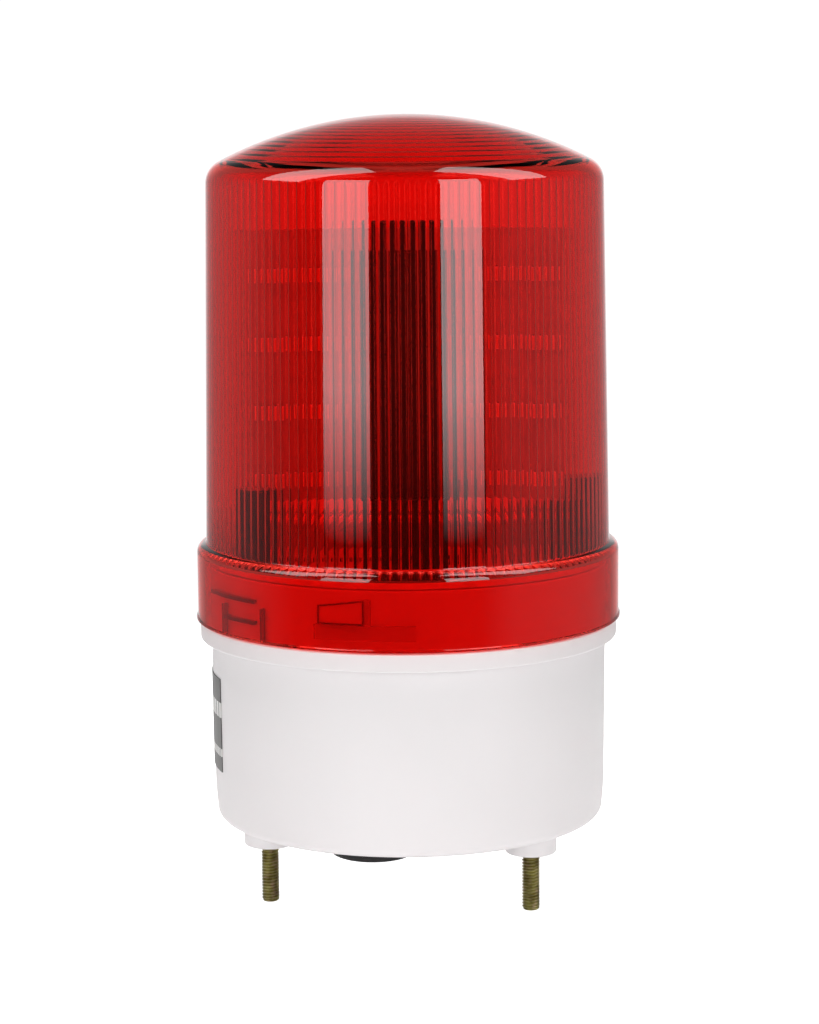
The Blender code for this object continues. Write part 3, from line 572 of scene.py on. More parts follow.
def label_film(settings):
    """Polyester label film, printed dark grey with plain white bars in place of words."""
    material, tree, shader, place = new_material("printed_label_film", IOR=1.5, Roughness=0.42)
    axes = add_node(tree, "ShaderNodeSeparateXYZ", {0: place}).outputs
    around = through(tree, axes["Y"], ("ARCTAN2", axes["X"]), ("MULTIPLY", BASE_RADIUS / MM))
    height = through(tree, axes["Z"], ("MULTIPLY", PER_MM), ("SUBTRACT", LABEL_LOW / MM))
    total = 0.0
    for bottom, top, pitch, share in LABEL_BARS:
        over = through(tree, height, ("GREATER_THAN", bottom))
        under = through(tree, height, ("LESS_THAN", top))
        block = through(tree, around, ("DIVIDE", pitch), ("FRACT",), ("LESS_THAN", share))
        total = through(tree, block, ("MULTIPLY", over), ("MULTIPLY", under), ("MAXIMUM", total))
    ground = mixed_colour(
        tree, between(tree, speckle(tree, place, 2.0, 3.0), 0.0, 1.0), tuple(settings.label_colour),
        [channel * 1.12 for channel in settings.label_colour[:3]] + [1.0],
    )
    tone = mixed_colour(tree, total, ground, linear("#D8D8D6"))
    tree.links.new(tone, shader.inputs["Base Color"])
    bumped(tree, shader, speckle(tree, place, 0.5, 2.0), 0.1, 0.01)
    return material


# Rows of printed blocks on the label: bottom and top over its lower edge, pitch, printed share (mm)
LABEL_BARS = (
    (12.4, 15.8, 2.2, 0.7),
    (3.5, 5.3, 1.3, 0.6),
)


# --- settings ---


class SirenLens(bpy.types.PropertyGroup):
    """Sizes and colour of the red lens"""

    lens_colour: colour("Colour", "Colour that one wall of the lens lets through", "#EA3A30")
    flutes: IntProperty(
        name="Flutes", description="Prism ribs round the inside", default=120, min=24, max=240
    )
    flute_depth: length("Flute Depth", "How far the edge between two flutes stands out", 0.25, 2.0)
    flute_sharpness: FloatProperty(
        name="Flute Sharpness", description="How narrow that edge is", default=3.0, min=1.0, max=12.0
    )
    flute_turn: FloatProperty(
        name="Flute Turn", description="Angle of the first groove", default=math.radians(0.8),
        subtype="ANGLE",
    )
    ring_pitch: length("Ring Pitch", "Distance between the rings inside the crown", 2.1, 10.0)
    ring_depth: length("Ring Depth", "How far a ring stands out from the crown's inside", 0.12, 2.0)


class SirenHousing(bpy.types.PropertyGroup):
    """Colours and details of the base"""

    housing_colour: colour("Colour", "White of the moulded base", "#DCD9DA")
    label_colour: colour("Label", "Ground colour of the label", "#4A4A48")
    boss_fillet: length("Boss Fillet", "Fillet between a boss and the floor", 0.7, 3.0)


class SirenBolts(bpy.types.PropertyGroup):
    """Sizes and colours of the mounting bolts"""

    pitch: length("Pitch", "Thread pitch", 0.7, 3.0)
    depth: length("Depth", "Thread depth", 0.42, 1.0)
    olive: colour("Olive", "Main colour of the chromate film", "#9A9460")
    brown: colour("Brown", "Second colour of the chromate film", "#6E6238")


class SirenLamps(bpy.types.PropertyGroup):
    """Sizes of the lamp tower"""

    rows: IntProperty(name="Rows", description="Rows of lamps on a board", default=4, min=1, max=8)
    lamp_length: length("Lamp Length", "Lamp package along the board", 2.8, 10.0)
    lamp_height: length("Lamp Height", "Lamp package upwards", 3.5, 10.0)
    lamp_depth: length("Lamp Depth", "Lamp package out of the board", 1.9, 5.0)


class SirenStage(bpy.types.PropertyGroup):
    """The floor and the lights"""

    floor_colour: colour("Floor", "Colour of the floor", "#F4F4F4")
    key_power: power("Key Power", "Power of each tall softbox", 2.96)
    roof_power: power("Roof Power", "Power of each softbox overhead", 5.9)
    ceiling_power: power("Ceiling Power", "Power of the soft light above", 8.5)


class Siren(bpy.types.PropertyGroup):
    """All settings of the siren"""

    lens: PointerProperty(type=SirenLens)
    housing: PointerProperty(type=SirenHousing)
    bolts: PointerProperty(type=SirenBolts)
    lamps: PointerProperty(type=SirenLamps)
    stage: PointerProperty(type=SirenStage)


# --- lens ---


def dome_outline(inset, shoulder_steps, crown_steps):
    """(radius, z) points from the apex to the top of the side, at this depth in the wall."""
    crown = arc(0.0, CROWN_Z, CROWN_RADIUS - inset, 0.0, CROWN_LEAN, crown_steps)
    shoulder = arc(SHOULDER_IN, SHOULDER_Z, SHOULDER_RADIUS - inset, CROWN_LEAN, 90.0, shoulder_steps)
    return crown + shoulder[1:]


def ringed_crown(settings):
    """Rows of the crown's inner side, from the apex out, with rounded rings on it."""
    inner = CROWN_RADIUS - LENS_WALL
    edge = inner * math.sin(math.radians(CROWN_LEAN))
    ring_count = int((edge - 5.0 * MM) / settings.ring_pitch)
    steps = 6
    first = edge - 1.2 * MM - ring_count * settings.ring_pitch
    rows = [(0.0, CROWN_Z + inner), (first * 0.5, CROWN_Z + math.sqrt(inner**2 - (first * 0.5) ** 2))]
    for ring in range(ring_count):
        for step in range(steps):
            share = step / steps
            radius = first + (ring + share) * settings.ring_pitch
            down = settings.ring_depth * (1.0 - (2.0 * share - 1.0) ** 2)
            rows.append((radius, CROWN_Z + math.sqrt(inner**2 - radius**2) - down))
    last = first + ring_count * settings.ring_pitch
    rows.append((last, CROWN_Z + math.sqrt(inner**2 - last**2)))
    rows.append((edge, CROWN_Z + math.sqrt(inner**2 - edge**2)))
    return rows


def flute_tree():
    """Presses prism ribs into the flagged wall. A rib stops where the shoulder's inside cuts it, so
    the ribs end in pointed arches."""
    tree, given = new_tree(
        "Prism Flutes", ("Int", "Flutes"), ("Float", "Depth"), ("Float", "Turn"),
        ("Float", "Sharpness"), ("Float", "Wall Radius"), ("Float", "Foot Height"), ("Float", "Lean"),
        ("Material", "Material"),
    )
    position = add_node(tree, "GeometryNodeInputPosition").outputs[0]
    axes = add_node(tree, "ShaderNodeSeparateXYZ", {0: position}).outputs
    flat = add_node(tree, "ShaderNodeCombineXYZ", {"X": axes["X"], "Y": axes["Y"]}).outputs[0]
    radius = add_node(tree, "ShaderNodeVectorMath", {0: flat}, operation="LENGTH").outputs["Value"]
    rib = through(
        tree, axes["Y"], ("ARCTAN2", axes["X"]), ("SUBTRACT", given["Turn"]), ("DIVIDE", 2 * math.pi),
        ("MULTIPLY", given["Flutes"]), ("ADD", FLUTE_NUDGE), ("FRACT",), ("MULTIPLY_ADD", 2.0, -1.0),
        ("ABSOLUTE",), ("POWER", given["Sharpness"]), ("MULTIPLY", given["Depth"]),
    )
    lean = through(tree, axes["Z"], ("SUBTRACT", given["Foot Height"]), ("MULTIPLY", given["Lean"]))
    wall = through(tree, given["Wall Radius"], ("SUBTRACT", lean), ("SUBTRACT", rib))
    scale = through(tree, radius, ("MINIMUM", wall), ("DIVIDE", radius))
    ring = add_node(tree, "ShaderNodeVectorMath", {0: flat, "Scale": scale}, operation="SCALE").outputs[0]
    lifted = add_node(tree, "ShaderNodeCombineXYZ", {"Z": axes["Z"]}).outputs[0]
    moved = add_node(tree, "ShaderNodeVectorMath", {0: ring, 1: lifted}, operation="ADD").outputs[0]
    zone = add_node(
        tree, "GeometryNodeInputNamedAttribute", {"Name": "flute_zone"}, data_type="FLOAT"
    ).outputs["Attribute"]
    chosen = through(tree, zone, ("GREATER_THAN", 0.5))
    inputs = {"Geometry": given["Geometry"], "Selection": chosen, "Position": moved}
    pressed = add_node(tree, "GeometryNodeSetPosition", inputs).outputs[0]
    end_tree(tree, pressed, given["Material"])
    return tree


def painted_lug_shadow_frame(bm, turn):
    """Thin ribs on the skirt round the place where a lock lug rests, in the darker rib colour: painted
    shadow for the gaps round the lug.
    """
    inner, outer, wide = SKIRT_INNER - 0.24 * MM, SKIRT_INNER - 0.02 * MM, 0.45
    low, high, high_end = LUG_Z - 0.2 * MM, LUG_Z + 5.2 * MM, LUG_Z + 3.9 * MM
    first, last = turn + LUG_FROM - 0.4, turn + LUG_TO + 0.4
    line = 0.36 * MM
    faces = add_arc_block(bm, inner, outer, low, high, first, first + wide)
    faces += add_arc_block(bm, inner, outer, low, high_end, last - wide, last)
    faces += add_arc_block(bm, inner, outer, low, low + line, first + wide, last - wide)
    faces += add_arc_block(
        bm, inner, outer, high - line, high, first + wide, last - wide, high_end=high_end,
        low_end=high_end - line,
    )
    return faces


class SIREN_OT_make_lens(bpy.types.Operator):
    """Make the red lens with its prism ribs, and the lock ribs inside its skirt"""

    bl_idname = "siren.make_lens"
    bl_label = "Make Lens"

    def execute(self, context):
        settings = context.scene.siren.lens
        red = clear_red_polycarbonate(settings)
        fine = settings.flutes * FLUTE_COLUMNS
        outer = dome_outline(0.0, 14, 20)
        fillet = 0.4 * MM
        outer += arc(DOME_FOOT_RADIUS + fillet, DOME_Z + fillet, fillet, 270.0, 180.0, 4)
        corner = 2.1 * MM
        outer += arc(SKIRT_RADIUS - corner, DOME_Z - corner, corner, 14.0, 90.0, 10)
        outer += [(SKIRT_RADIUS, LIP_Z + 0.7 * MM), (SKIRT_RADIUS + 0.3 * MM, LIP_Z + 0.5 * MM)]
        outer += [(SKIRT_RADIUS + 0.3 * MM, LIP_Z + 0.15 * MM)]
        outer += [(SKIRT_RADIUS + 0.15 * MM, LIP_Z), (SKIRT_INNER + 0.2 * MM, LIP_Z)]
        outer += [(SKIRT_INNER, LIP_Z + 0.2 * MM), (SKIRT_INNER, LEDGE_Z - 0.3 * MM)]
        outer += [(SKIRT_INNER - 0.3 * MM, LEDGE_Z)]
        foot_radius = DOME_FOOT_RADIUS - LENS_WALL
        top_radius = DOME_TOP_RADIUS - LENS_WALL
        lean = (foot_radius - top_radius) / (SHOULDER_Z - LEDGE_Z)
        wall = [(foot_radius, LEDGE_Z, fine, True)]
        shoulder = arc(SHOULDER_IN, SHOULDER_Z, SHOULDER_RADIUS - LENS_WALL, 90.0, 50.0, 20)
        wall += [(radius, z, fine, True) for radius, z in shoulder]
        rest = arc(SHOULDER_IN, SHOULDER_Z, SHOULDER_RADIUS - LENS_WALL, 46.0, CROWN_LEAN, 6)
        inner = rest[:-1] + ringed_crown(settings)[::-1]
        bm = bmesh.new()
        flag = bm.verts.layers.float.new("flute_zone")
        add_turned(bm, braced(outer) + wall + inner, closed=False, start=settings.flute_turn, flag=flag)
        bmesh.ops.recalc_face_normals(bm, faces=bm.faces)
        lens = from_bmesh("lens_shell", bm)
        grown(lens, flute_tree(), {
            "Flutes": settings.flutes, "Depth": settings.flute_depth, "Turn": settings.flute_turn,
            "Sharpness": settings.flute_sharpness, "Wall Radius": foot_radius, "Foot Height": LEDGE_Z,
            "Lean": lean, "Material": red,
        })
        smoothed(lens.data, 32.0)
        zone = lens.data.attributes["flute_zone"].data
        for edge in lens.data.edges:
            first, second = (lens.data.vertices[i].co for i in edge.vertices)
            upright = abs(first.z - second.z) > (first - second).length / 2
            if upright and all(zone[i].value > 0.5 for i in edge.vertices):
                edge.use_edge_sharp = False  # the crest of a rib is rounded
        settle(lens, LENS_BODY, "red_lens", "lens_cover")

        bm = bmesh.new()
        rib_in, rib_out = COLLAR_RADIUS + 0.3 * MM, SKIRT_INNER - 0.02 * MM
        catch_top, stop_top = LIP_Z + CATCH_TOP, LIP_Z + CATCH_TOP + 5.6 * MM
        faces = []
        for turn in (0.0, 180.0):
            for bearing, top in CAGE_POSTS:
                first, last = turn + bearing - CAGE_POST_HALF, turn + bearing + CAGE_POST_HALF
                faces += add_arc_block(bm, rib_in, rib_out, LIP_Z + 0.1 * MM, LIP_Z + top, first, last)
            for top, end in CAGE_RAILS:
                low, high = LIP_Z + top - 0.8 * MM, LIP_Z + top
                faces += add_arc_block(bm, rib_in, rib_out, low, high, turn + CAGE_RAIL_FROM, turn + end)
            faces += painted_lug_shadow_frame(bm, turn)
        # The cage ribs and the lug frame get the darker rib colour, painted shade
        for face in faces:
            face.material_index = 1
        for turn in (0.0, 180.0):
            first, last = turn + CATCH_FROM, turn + CATCH_TO
            add_arc_block(bm, rib_in, rib_out, catch_top - 3.2 * MM, catch_top, first, last)
            first, last = turn + STOP_FROM, turn + STOP_TO
            add_arc_block(bm, rib_in, rib_out, catch_top + 0.02 * MM, stop_top, first, last)
        ribs = from_bmesh("lens_lock_ribs", bm, faint_red_rib(settings), painted_shade_rib(settings))
        settle(ribs, LENS_BODY, "red_lens")
        return {"FINISHED"}


# --- base ---


def base_wall_radius(z):
    """Outer radius of the base wall: a light draft, and a belly towards the floor."""
    down = (FLANGE_Z - z) / (FLANGE_Z - BASE_Z)
    belly = max(0.0, 1.0 - (z - BASE_Z) / (10.0 * MM))
    return BASE_RADIUS - BASE_DRAFT * down - BASE_BELLY * belly**2


class SIREN_OT_make_housing(bpy.types.Operator):
    """Make the white base with its bosses, pillars, holes and lock lugs"""

    bl_idname = "siren.make_housing"
    bl_label = "Make Housing"

    def execute(self, context):
        settings = context.scene.siren.housing
        white = white_abs(settings)
        corner = 1.9 * MM
        soft = 0.35 * MM
        outer = arc(COLLAR_RADIUS - soft, COLLAR_TOP_Z - soft, soft, 0.0, 90.0, 3)
        outer += [(COLLAR_RADIUS, FLANGE_TOP_Z)]
        outer += arc(FLANGE_RADIUS - soft, FLANGE_TOP_Z - soft, soft, 0.0, 90.0, 3)
        outer += arc(FLANGE_RADIUS - soft, FLANGE_Z + soft, soft, 90.0, 180.0, 3)
        outer += arc(BASE_RADIUS + soft, FLANGE_Z - soft, soft, 360.0, 270.0, 3)
        for i in range(1, 15):
            z = FLANGE_Z - soft + (BASE_Z + corner - FLANGE_Z + soft) * (i / 14) ** 0.7
            outer.append((base_wall_radius(z), z))
        foot = base_wall_radius(BASE_Z + corner)
        outer += arc(foot - corner, BASE_Z + corner, corner, 96.0, 180.0, 9)
        outer.append((0.0, BASE_Z))
        inner = [(0.0, FLOOR_Z), (BASE_INNER - 1.0 * MM, FLOOR_Z), (BASE_INNER, FLOOR_Z + 1.0 * MM)]
        inner += [(COLLAR_INNER, FLANGE_Z), (COLLAR_INNER, COLLAR_TOP_Z - soft)]
        inner += [(COLLAR_INNER + soft, COLLAR_TOP_Z)]
        bm = bmesh.new()
        add_turned(bm, inner + braced(outer), closed=False)
        bmesh.ops.recalc_face_normals(bm, faces=bm.faces)
        housing = from_bmesh("housing_shell", bm, white)

        bm = bmesh.new()
        fillet = settings.boss_fillet
        radius, bevel = 5.7 * MM, 0.6 * MM
        for bolt in BOLTS:
            place = centre_of(bolt)
            rows = [(0.0, BASE_Z + SINK), (radius + fillet, BASE_Z + SINK)]
            rows += arc(radius + fillet, BASE_Z - fillet, fillet, 360.0, 270.0, 5)
            rows += arc(radius - bevel, BOSS_FACE_Z + bevel, bevel, 90.0, 180.0, 5)
            rows.append((0.0, BOSS_FACE_Z))
            add_turned(bm, rows, 64, closed=False, place=(place.x, place.y))
        board_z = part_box("driver_board")[0].z
        for screw in BOARD_SCREWS:
            add_post(bm, screw, 4.4 * MM, FLOOR_Z - SINK, board_z - 0.3 * MM)
        for turn in (0.0, 180.0):
            inner_r, outer_r = COLLAR_RADIUS - SINK, SKIRT_INNER - 0.3 * MM
            add_arc_block(
                bm, inner_r, outer_r, LUG_Z, LUG_Z + 5.0 * MM, turn + LUG_FROM, turn + LUG_TO,
                high_end=LUG_Z + 3.7 * MM,
            )
        boolean(housing, from_bmesh("raised", bm), "UNION")

        bm = bmesh.new()
        add_post(bm, "sounder_disc", 9.8 * MM, BASE_Z - SINK, FLOOR_Z + SINK, 72)
        add_post(bm, "cable_grommet", 6.0 * MM, BASE_Z - SINK, FLOOR_Z + SINK)
        for bolt, screw in zip(BOLTS, BOARD_SCREWS):
            add_post(bm, bolt, 2.1 * MM, BOSS_FACE_Z - SINK, FLOOR_Z - 3.0 * MM, 32)
            add_post(bm, screw, 1.45 * MM, board_z - 7.4 * MM, board_z + SINK, 24)
        for screw in SOUNDER_SCREWS:
            add_post(bm, screw, 1.15 * MM, FLOOR_Z - 2.0 * MM, FLOOR_Z + SINK, 20)
        boolean(housing, from_bmesh("bored", bm), "DIFFERENCE")
        bm = bmesh.new()
        for bolt in BOLTS:
            add_post(bm, bolt, 4.35 * MM, FLOOR_Z - 3.2 * MM, FLOOR_Z + SINK, 6)
        boolean(housing, from_bmesh("pocketed", bm), "DIFFERENCE")
        smoothed(housing.data, 30.0)
        settle(housing, BASE_BODY, "white_housing", "base_housing")
        return {"FINISHED"}


class SIREN_OT_make_label(bpy.types.Operator):
    """Make the dark label on the side of the base"""

    bl_idname = "siren.make_label"
    bl_label = "Make Label"

    def execute(self, context):
        film = label_film(context.scene.siren.housing)
        bm = bmesh.new()
        rows, columns = 10, 48
        sides = []
        for lift in (0.03 * MM, 0.22 * MM):
            grid = []
            for row in range(rows + 1):
                z = LABEL_LOW + (LABEL_TOP - LABEL_LOW) * row / rows
                radius = base_wall_radius(z) + lift
                bearings = [LABEL_FROM + (LABEL_TO - LABEL_FROM) * i / columns for i in range(columns + 1)]
                grid.append([bm.verts.new(on_bearing(radius, bearing, z)) for bearing in bearings])
            sides.append(grid)
        for grid in sides:
            for row in range(rows):
                for i in range(columns):
                    bm.faces.new((grid[row][i], grid[row][i + 1], grid[row + 1][i + 1], grid[row + 1][i]))
        back, front = sides
        rims = [(back[0], front[0]), (back[-1], front[-1])]
        rims += [([row[0] for row in back], [row[0] for row in front])]
        rims += [([row[-1] for row in back], [row[-1] for row in front])]
        for first, second in rims:
            for i in range(len(first) - 1):
                bm.faces.new((first[i], first[i + 1], second[i + 1], second[i]))
        bmesh.ops.recalc_face_normals(bm, faces=bm.faces)
        settle(from_bmesh("label_film", bm, film), BASE_BODY, "label", "label_plate")
        return {"FINISHED"}


# --- bolts ---


def bolt_tree():
    """A threaded bolt with a hex head, standing on each point that it is given."""
    tree, given = new_tree(
        "Threaded Bolt", ("Float", "Radius"), ("Float", "Pitch"), ("Float", "Depth"), ("Float", "Length"),
        ("Int", "Rows"), ("Float", "Head Radius"), ("Float", "Head Height"), ("Material", "Material"),
    )
    shank = add_node(tree, "GeometryNodeMeshCylinder", {
        "Vertices": 32, "Side Segments": given["Rows"], "Radius": given["Radius"], "Depth": given["Length"],
    }).outputs["Mesh"]
    half = through(tree, given["Length"], ("MULTIPLY", 0.5))
    up = add_node(tree, "ShaderNodeCombineXYZ", {"Z": half}).outputs[0]
    shank = add_node(tree, "GeometryNodeTransform", {"Geometry": shank, "Translation": up}).outputs[0]
    position = add_node(tree, "GeometryNodeInputPosition").outputs[0]
    axes = add_node(tree, "ShaderNodeSeparateXYZ", {0: position}).outputs
    share = through(tree, axes["Y"], ("ARCTAN2", axes["X"]), ("DIVIDE", 2 * math.pi))
    wave = through(tree, axes["Z"], ("DIVIDE", given["Pitch"]), ("SUBTRACT", share), ("PINGPONG", 0.5))
    ridge = between(tree, wave, 0.0, 1.0, 0.08, 0.44)
    root = through(tree, given["Radius"], ("SUBTRACT", given["Depth"]))
    point = through(tree, axes["Z"], ("ADD", root))
    scale = through(
        tree, ridge, ("MULTIPLY_ADD", given["Depth"], root), ("MINIMUM", point), ("DIVIDE", given["Radius"])
    )
    flat = add_node(tree, "ShaderNodeCombineXYZ", {"X": scale, "Y": scale, "Z": 1.0}).outputs[0]
    moved = add_node(tree, "ShaderNodeVectorMath", {0: position, 1: flat}, operation="MULTIPLY").outputs[0]
    shank = add_node(tree, "GeometryNodeSetPosition", {"Geometry": shank, "Position": moved}).outputs[0]
    head = add_node(tree, "GeometryNodeMeshCylinder", {
        "Vertices": 6, "Radius": given["Head Radius"], "Depth": given["Head Height"],
    }).outputs["Mesh"]
    rise = through(
        tree, given["Head Height"], ("MULTIPLY_ADD", 0.5, given["Length"]), ("SUBTRACT", OVERLAP)
    )
    up = add_node(tree, "ShaderNodeCombineXYZ", {"Z": rise}).outputs[0]
    head = add_node(tree, "GeometryNodeTransform", {"Geometry": head, "Translation": up}).outputs[0]
    both = add_node(tree, "GeometryNodeJoinGeometry").inputs[0]
    tree.links.new(shank, both)
    tree.links.new(head, both)
    inputs = {"Points": given["Geometry"], "Instance": both.node.outputs[0]}
    end_tree(tree, add_node(tree, "GeometryNodeInstanceOnPoints", inputs).outputs[0], given["Material"])
    return tree


class SIREN_OT_make_bolts(bpy.types.Operator):
    """Make the three threaded mounting bolts"""

    bl_idname = "siren.make_bolts"
    bl_label = "Make Bolts"

    def execute(self, context):
        settings = context.scene.siren.bolts
        plated = yellow_zinc(settings)
        mesh = bpy.data.meshes.new("mounting_bolts")
        places = [centre_of(bolt) for bolt in BOLTS]
        mesh.from_pydata([(place.x, place.y, 0.0) for place in places], [], [])
        low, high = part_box(BOLTS[0])
        head = 2.8 * MM
        shank = high.z - low.z - head
        rows = round(shank / settings.pitch * 9)
        bolts = grown(object_of("mounting_bolts", mesh), bolt_tree(), {
            "Radius": 2.02 * MM, "Pitch": settings.pitch, "Depth": settings.depth, "Length": shank,
            "Rows": rows, "Head Radius": 4.04 * MM, "Head Height": head, "Material": plated,
        })
        smoothed(bolts.data, 50.0)
        settle(bolts, BASE_BODY, "yellow_zinc", *BOLTS)
        return {"FINISHED"}


# --- lamp tower ---


def lamp_tree(package, window, lead):
    """A lamp package on each point, turned to face out of its board: a white body, a yellow window
    and a lead at each end, dark grey as painted shade along the package's top and bottom."""
    tree, given = new_tree(
        "Lamp Packages", ("Float", "Length"), ("Float", "Height"), ("Float", "Depth"),
    )
    shapes = (
        ((1.0, 1.0, 0.88), 0.0, package),
        ((0.56, 0.14, 0.70), 0.5, window),
        # the lead shows past the body's top and bottom; its dark grey is painted shade there
        ((0.60, 0.34, 1.0), -0.30, lead),
    )
    join = add_node(tree, "GeometryNodeJoinGeometry")
    for (along, out, up), shift, material in shapes:
        sides = (("X", "Length", along), ("Y", "Depth", out), ("Z", "Height", up))
        sizes = {axis: through(tree, given[label], ("MULTIPLY", part)) for axis, label, part in sides}
        size = add_node(tree, "ShaderNodeCombineXYZ", sizes).outputs[0]
        cube = add_node(tree, "GeometryNodeMeshCube", {"Size": size}).outputs["Mesh"]
        far = through(tree, given["Depth"], ("MULTIPLY", shift))
        place = add_node(tree, "ShaderNodeCombineXYZ", {"Y": far}).outputs[0]
        cube = add_node(tree, "GeometryNodeTransform", {"Geometry": cube, "Translation": place}).outputs[0]
        inputs = {"Geometry": cube, "Material": material}
        cube = add_node(tree, "GeometryNodeSetMaterial", inputs).outputs[0]
        tree.links.new(cube, join.inputs[0])
    turn = add_node(
        tree, "GeometryNodeInputNamedAttribute", {"Name": "turn"}, data_type="FLOAT"
    ).outputs["Attribute"]
    spin = add_node(tree, "ShaderNodeCombineXYZ", {"Z": turn}).outputs[0]
    inputs = {"Points": given["Geometry"], "Instance": join.outputs[0], "Rotation": spin}
    end_tree(tree, add_node(tree, "GeometryNodeInstanceOnPoints", inputs).outputs[0])
    return tree


def board_matrix(bearing, along, out, z):
    """Places a piece on a lamp board: along it, out of its middle plane, and up."""
    return Matrix.Rotation(facing(bearing), 4, "Z") @ Matrix.Translation((along, out, z))


class SIREN_OT_make_lamp_tower(bpy.types.Operator):
    """Make the three lamp boards and their lamps, and finish the black core"""

    bl_idname = "siren.make_lamp_tower"
    bl_label = "Make Lamp Tower"

    def execute(self, context):
        settings = context.scene.siren.lamps
        white_mask = circuit_board("white_masked_board", "#A5A39D", "#B2B0AA", 5.0)
        bm = bmesh.new()
        width, height = LAMP_BOARD_OUT - LAMP_BOARD_IN, LAMP_BOARD_TOP - LAMP_BOARD_LOW
        middle_r, middle_z = (LAMP_BOARD_OUT + LAMP_BOARD_IN) / 2, (LAMP_BOARD_TOP + LAMP_BOARD_LOW) / 2
        for bearing in LAMP_BEARINGS:
            matrix = board_matrix(bearing, middle_r, 0.0, middle_z)
            add_block(bm, (width, LAMP_BOARD_THICKNESS, height), matrix, 0.15 * MM)
        boards = from_bmesh("lamp_board_plates", bm, white_mask)
        settle(boards, BASE_BODY, "lamp_board", *LAMP_BOARDS)

        points, turns = [], []
        edge, top_edge = 4.8 * MM, 10.0 * MM
        pitch = (height - edge - top_edge) / max(1, settings.rows - 1)
        column_pitch = 0.2925 * width
        out = LAMP_BOARD_THICKNESS / 2 + settings.lamp_depth / 2 - 0.05 * MM
        for bearing in LAMP_BEARINGS:
            for side in (-1, 1):
                for row in range(settings.rows):
                    for column in range(2):
                        along = LAMP_BOARD_OUT - 5.6 * MM - column * column_pitch
                        z = LAMP_BOARD_LOW + edge + row * pitch
                        points.append(board_matrix(bearing, along, side * out, z).translation)
                        turns.append(facing(bearing) + (math.pi if side < 0 else 0.0))
        mesh = bpy.data.meshes.new("lamp_packages")
        mesh.from_pydata(points, [], [])
        mesh.attributes.new("turn", "FLOAT", "POINT").data.foreach_set("value", turns)
        tree = lamp_tree(
            plain_moulding("white_lamp_housing", "#F6F4EE", "#ECE9E0", 0.5, 0.4),
            plain_moulding("silicone_phosphor_window", "#E8C33A", "#D9A92A", 0.4, 0.3),
            # Tinned leads are bright; this dark grey is painted shade at the packages' top and bottom edges
            plated_metal("tinned_lead_painted_shade", "#56564F", "#3C3C38"),
        )
        lamps = grown(object_of("lamp_packages", mesh), tree, {
            "Length": settings.lamp_length, "Height": settings.lamp_height, "Depth": settings.lamp_depth,
        })
        settle(lamps, BASE_BODY, "lamp_board")
        finish_node("tower_core", black_abs())
        return {"FINISHED"}


# --- driver board and its components ---


def chip_tree():
    """A small chip on each point, its size and turn drawn from a fixed seed."""
    tree, given = new_tree("Board Chips", ("Float", "Size"), ("Int", "Seed"), ("Material", "Material"))
    cube = add_node(tree, "GeometryNodeMeshCube", {"Size": (1.0, 0.55, 0.4)}).outputs["Mesh"]
    inputs = {"Min": 0.0, "Max": 3.999, "Seed": given["Seed"]}
    turn = add_node(tree, "FunctionNodeRandomValue", inputs, data_type="FLOAT").outputs[1]
    quarter = through(tree, turn, ("FLOOR",), ("MULTIPLY", math.pi / 2))
    spin = add_node(tree, "ShaderNodeCombineXYZ", {"Z": quarter}).outputs[0]
    inputs = {"Min": 0.7, "Max": 1.8, "Seed": given["Seed"]}
    grow = add_node(tree, "FunctionNodeRandomValue", inputs, data_type="FLOAT").outputs[1]
    size = through(tree, grow, ("MULTIPLY", given["Size"]))
    inputs = {"Points": given["Geometry"], "Instance": cube, "Rotation": spin, "Scale": size}
    end_tree(tree, add_node(tree, "GeometryNodeInstanceOnPoints", inputs).outputs[0], given["Material"])
    return tree


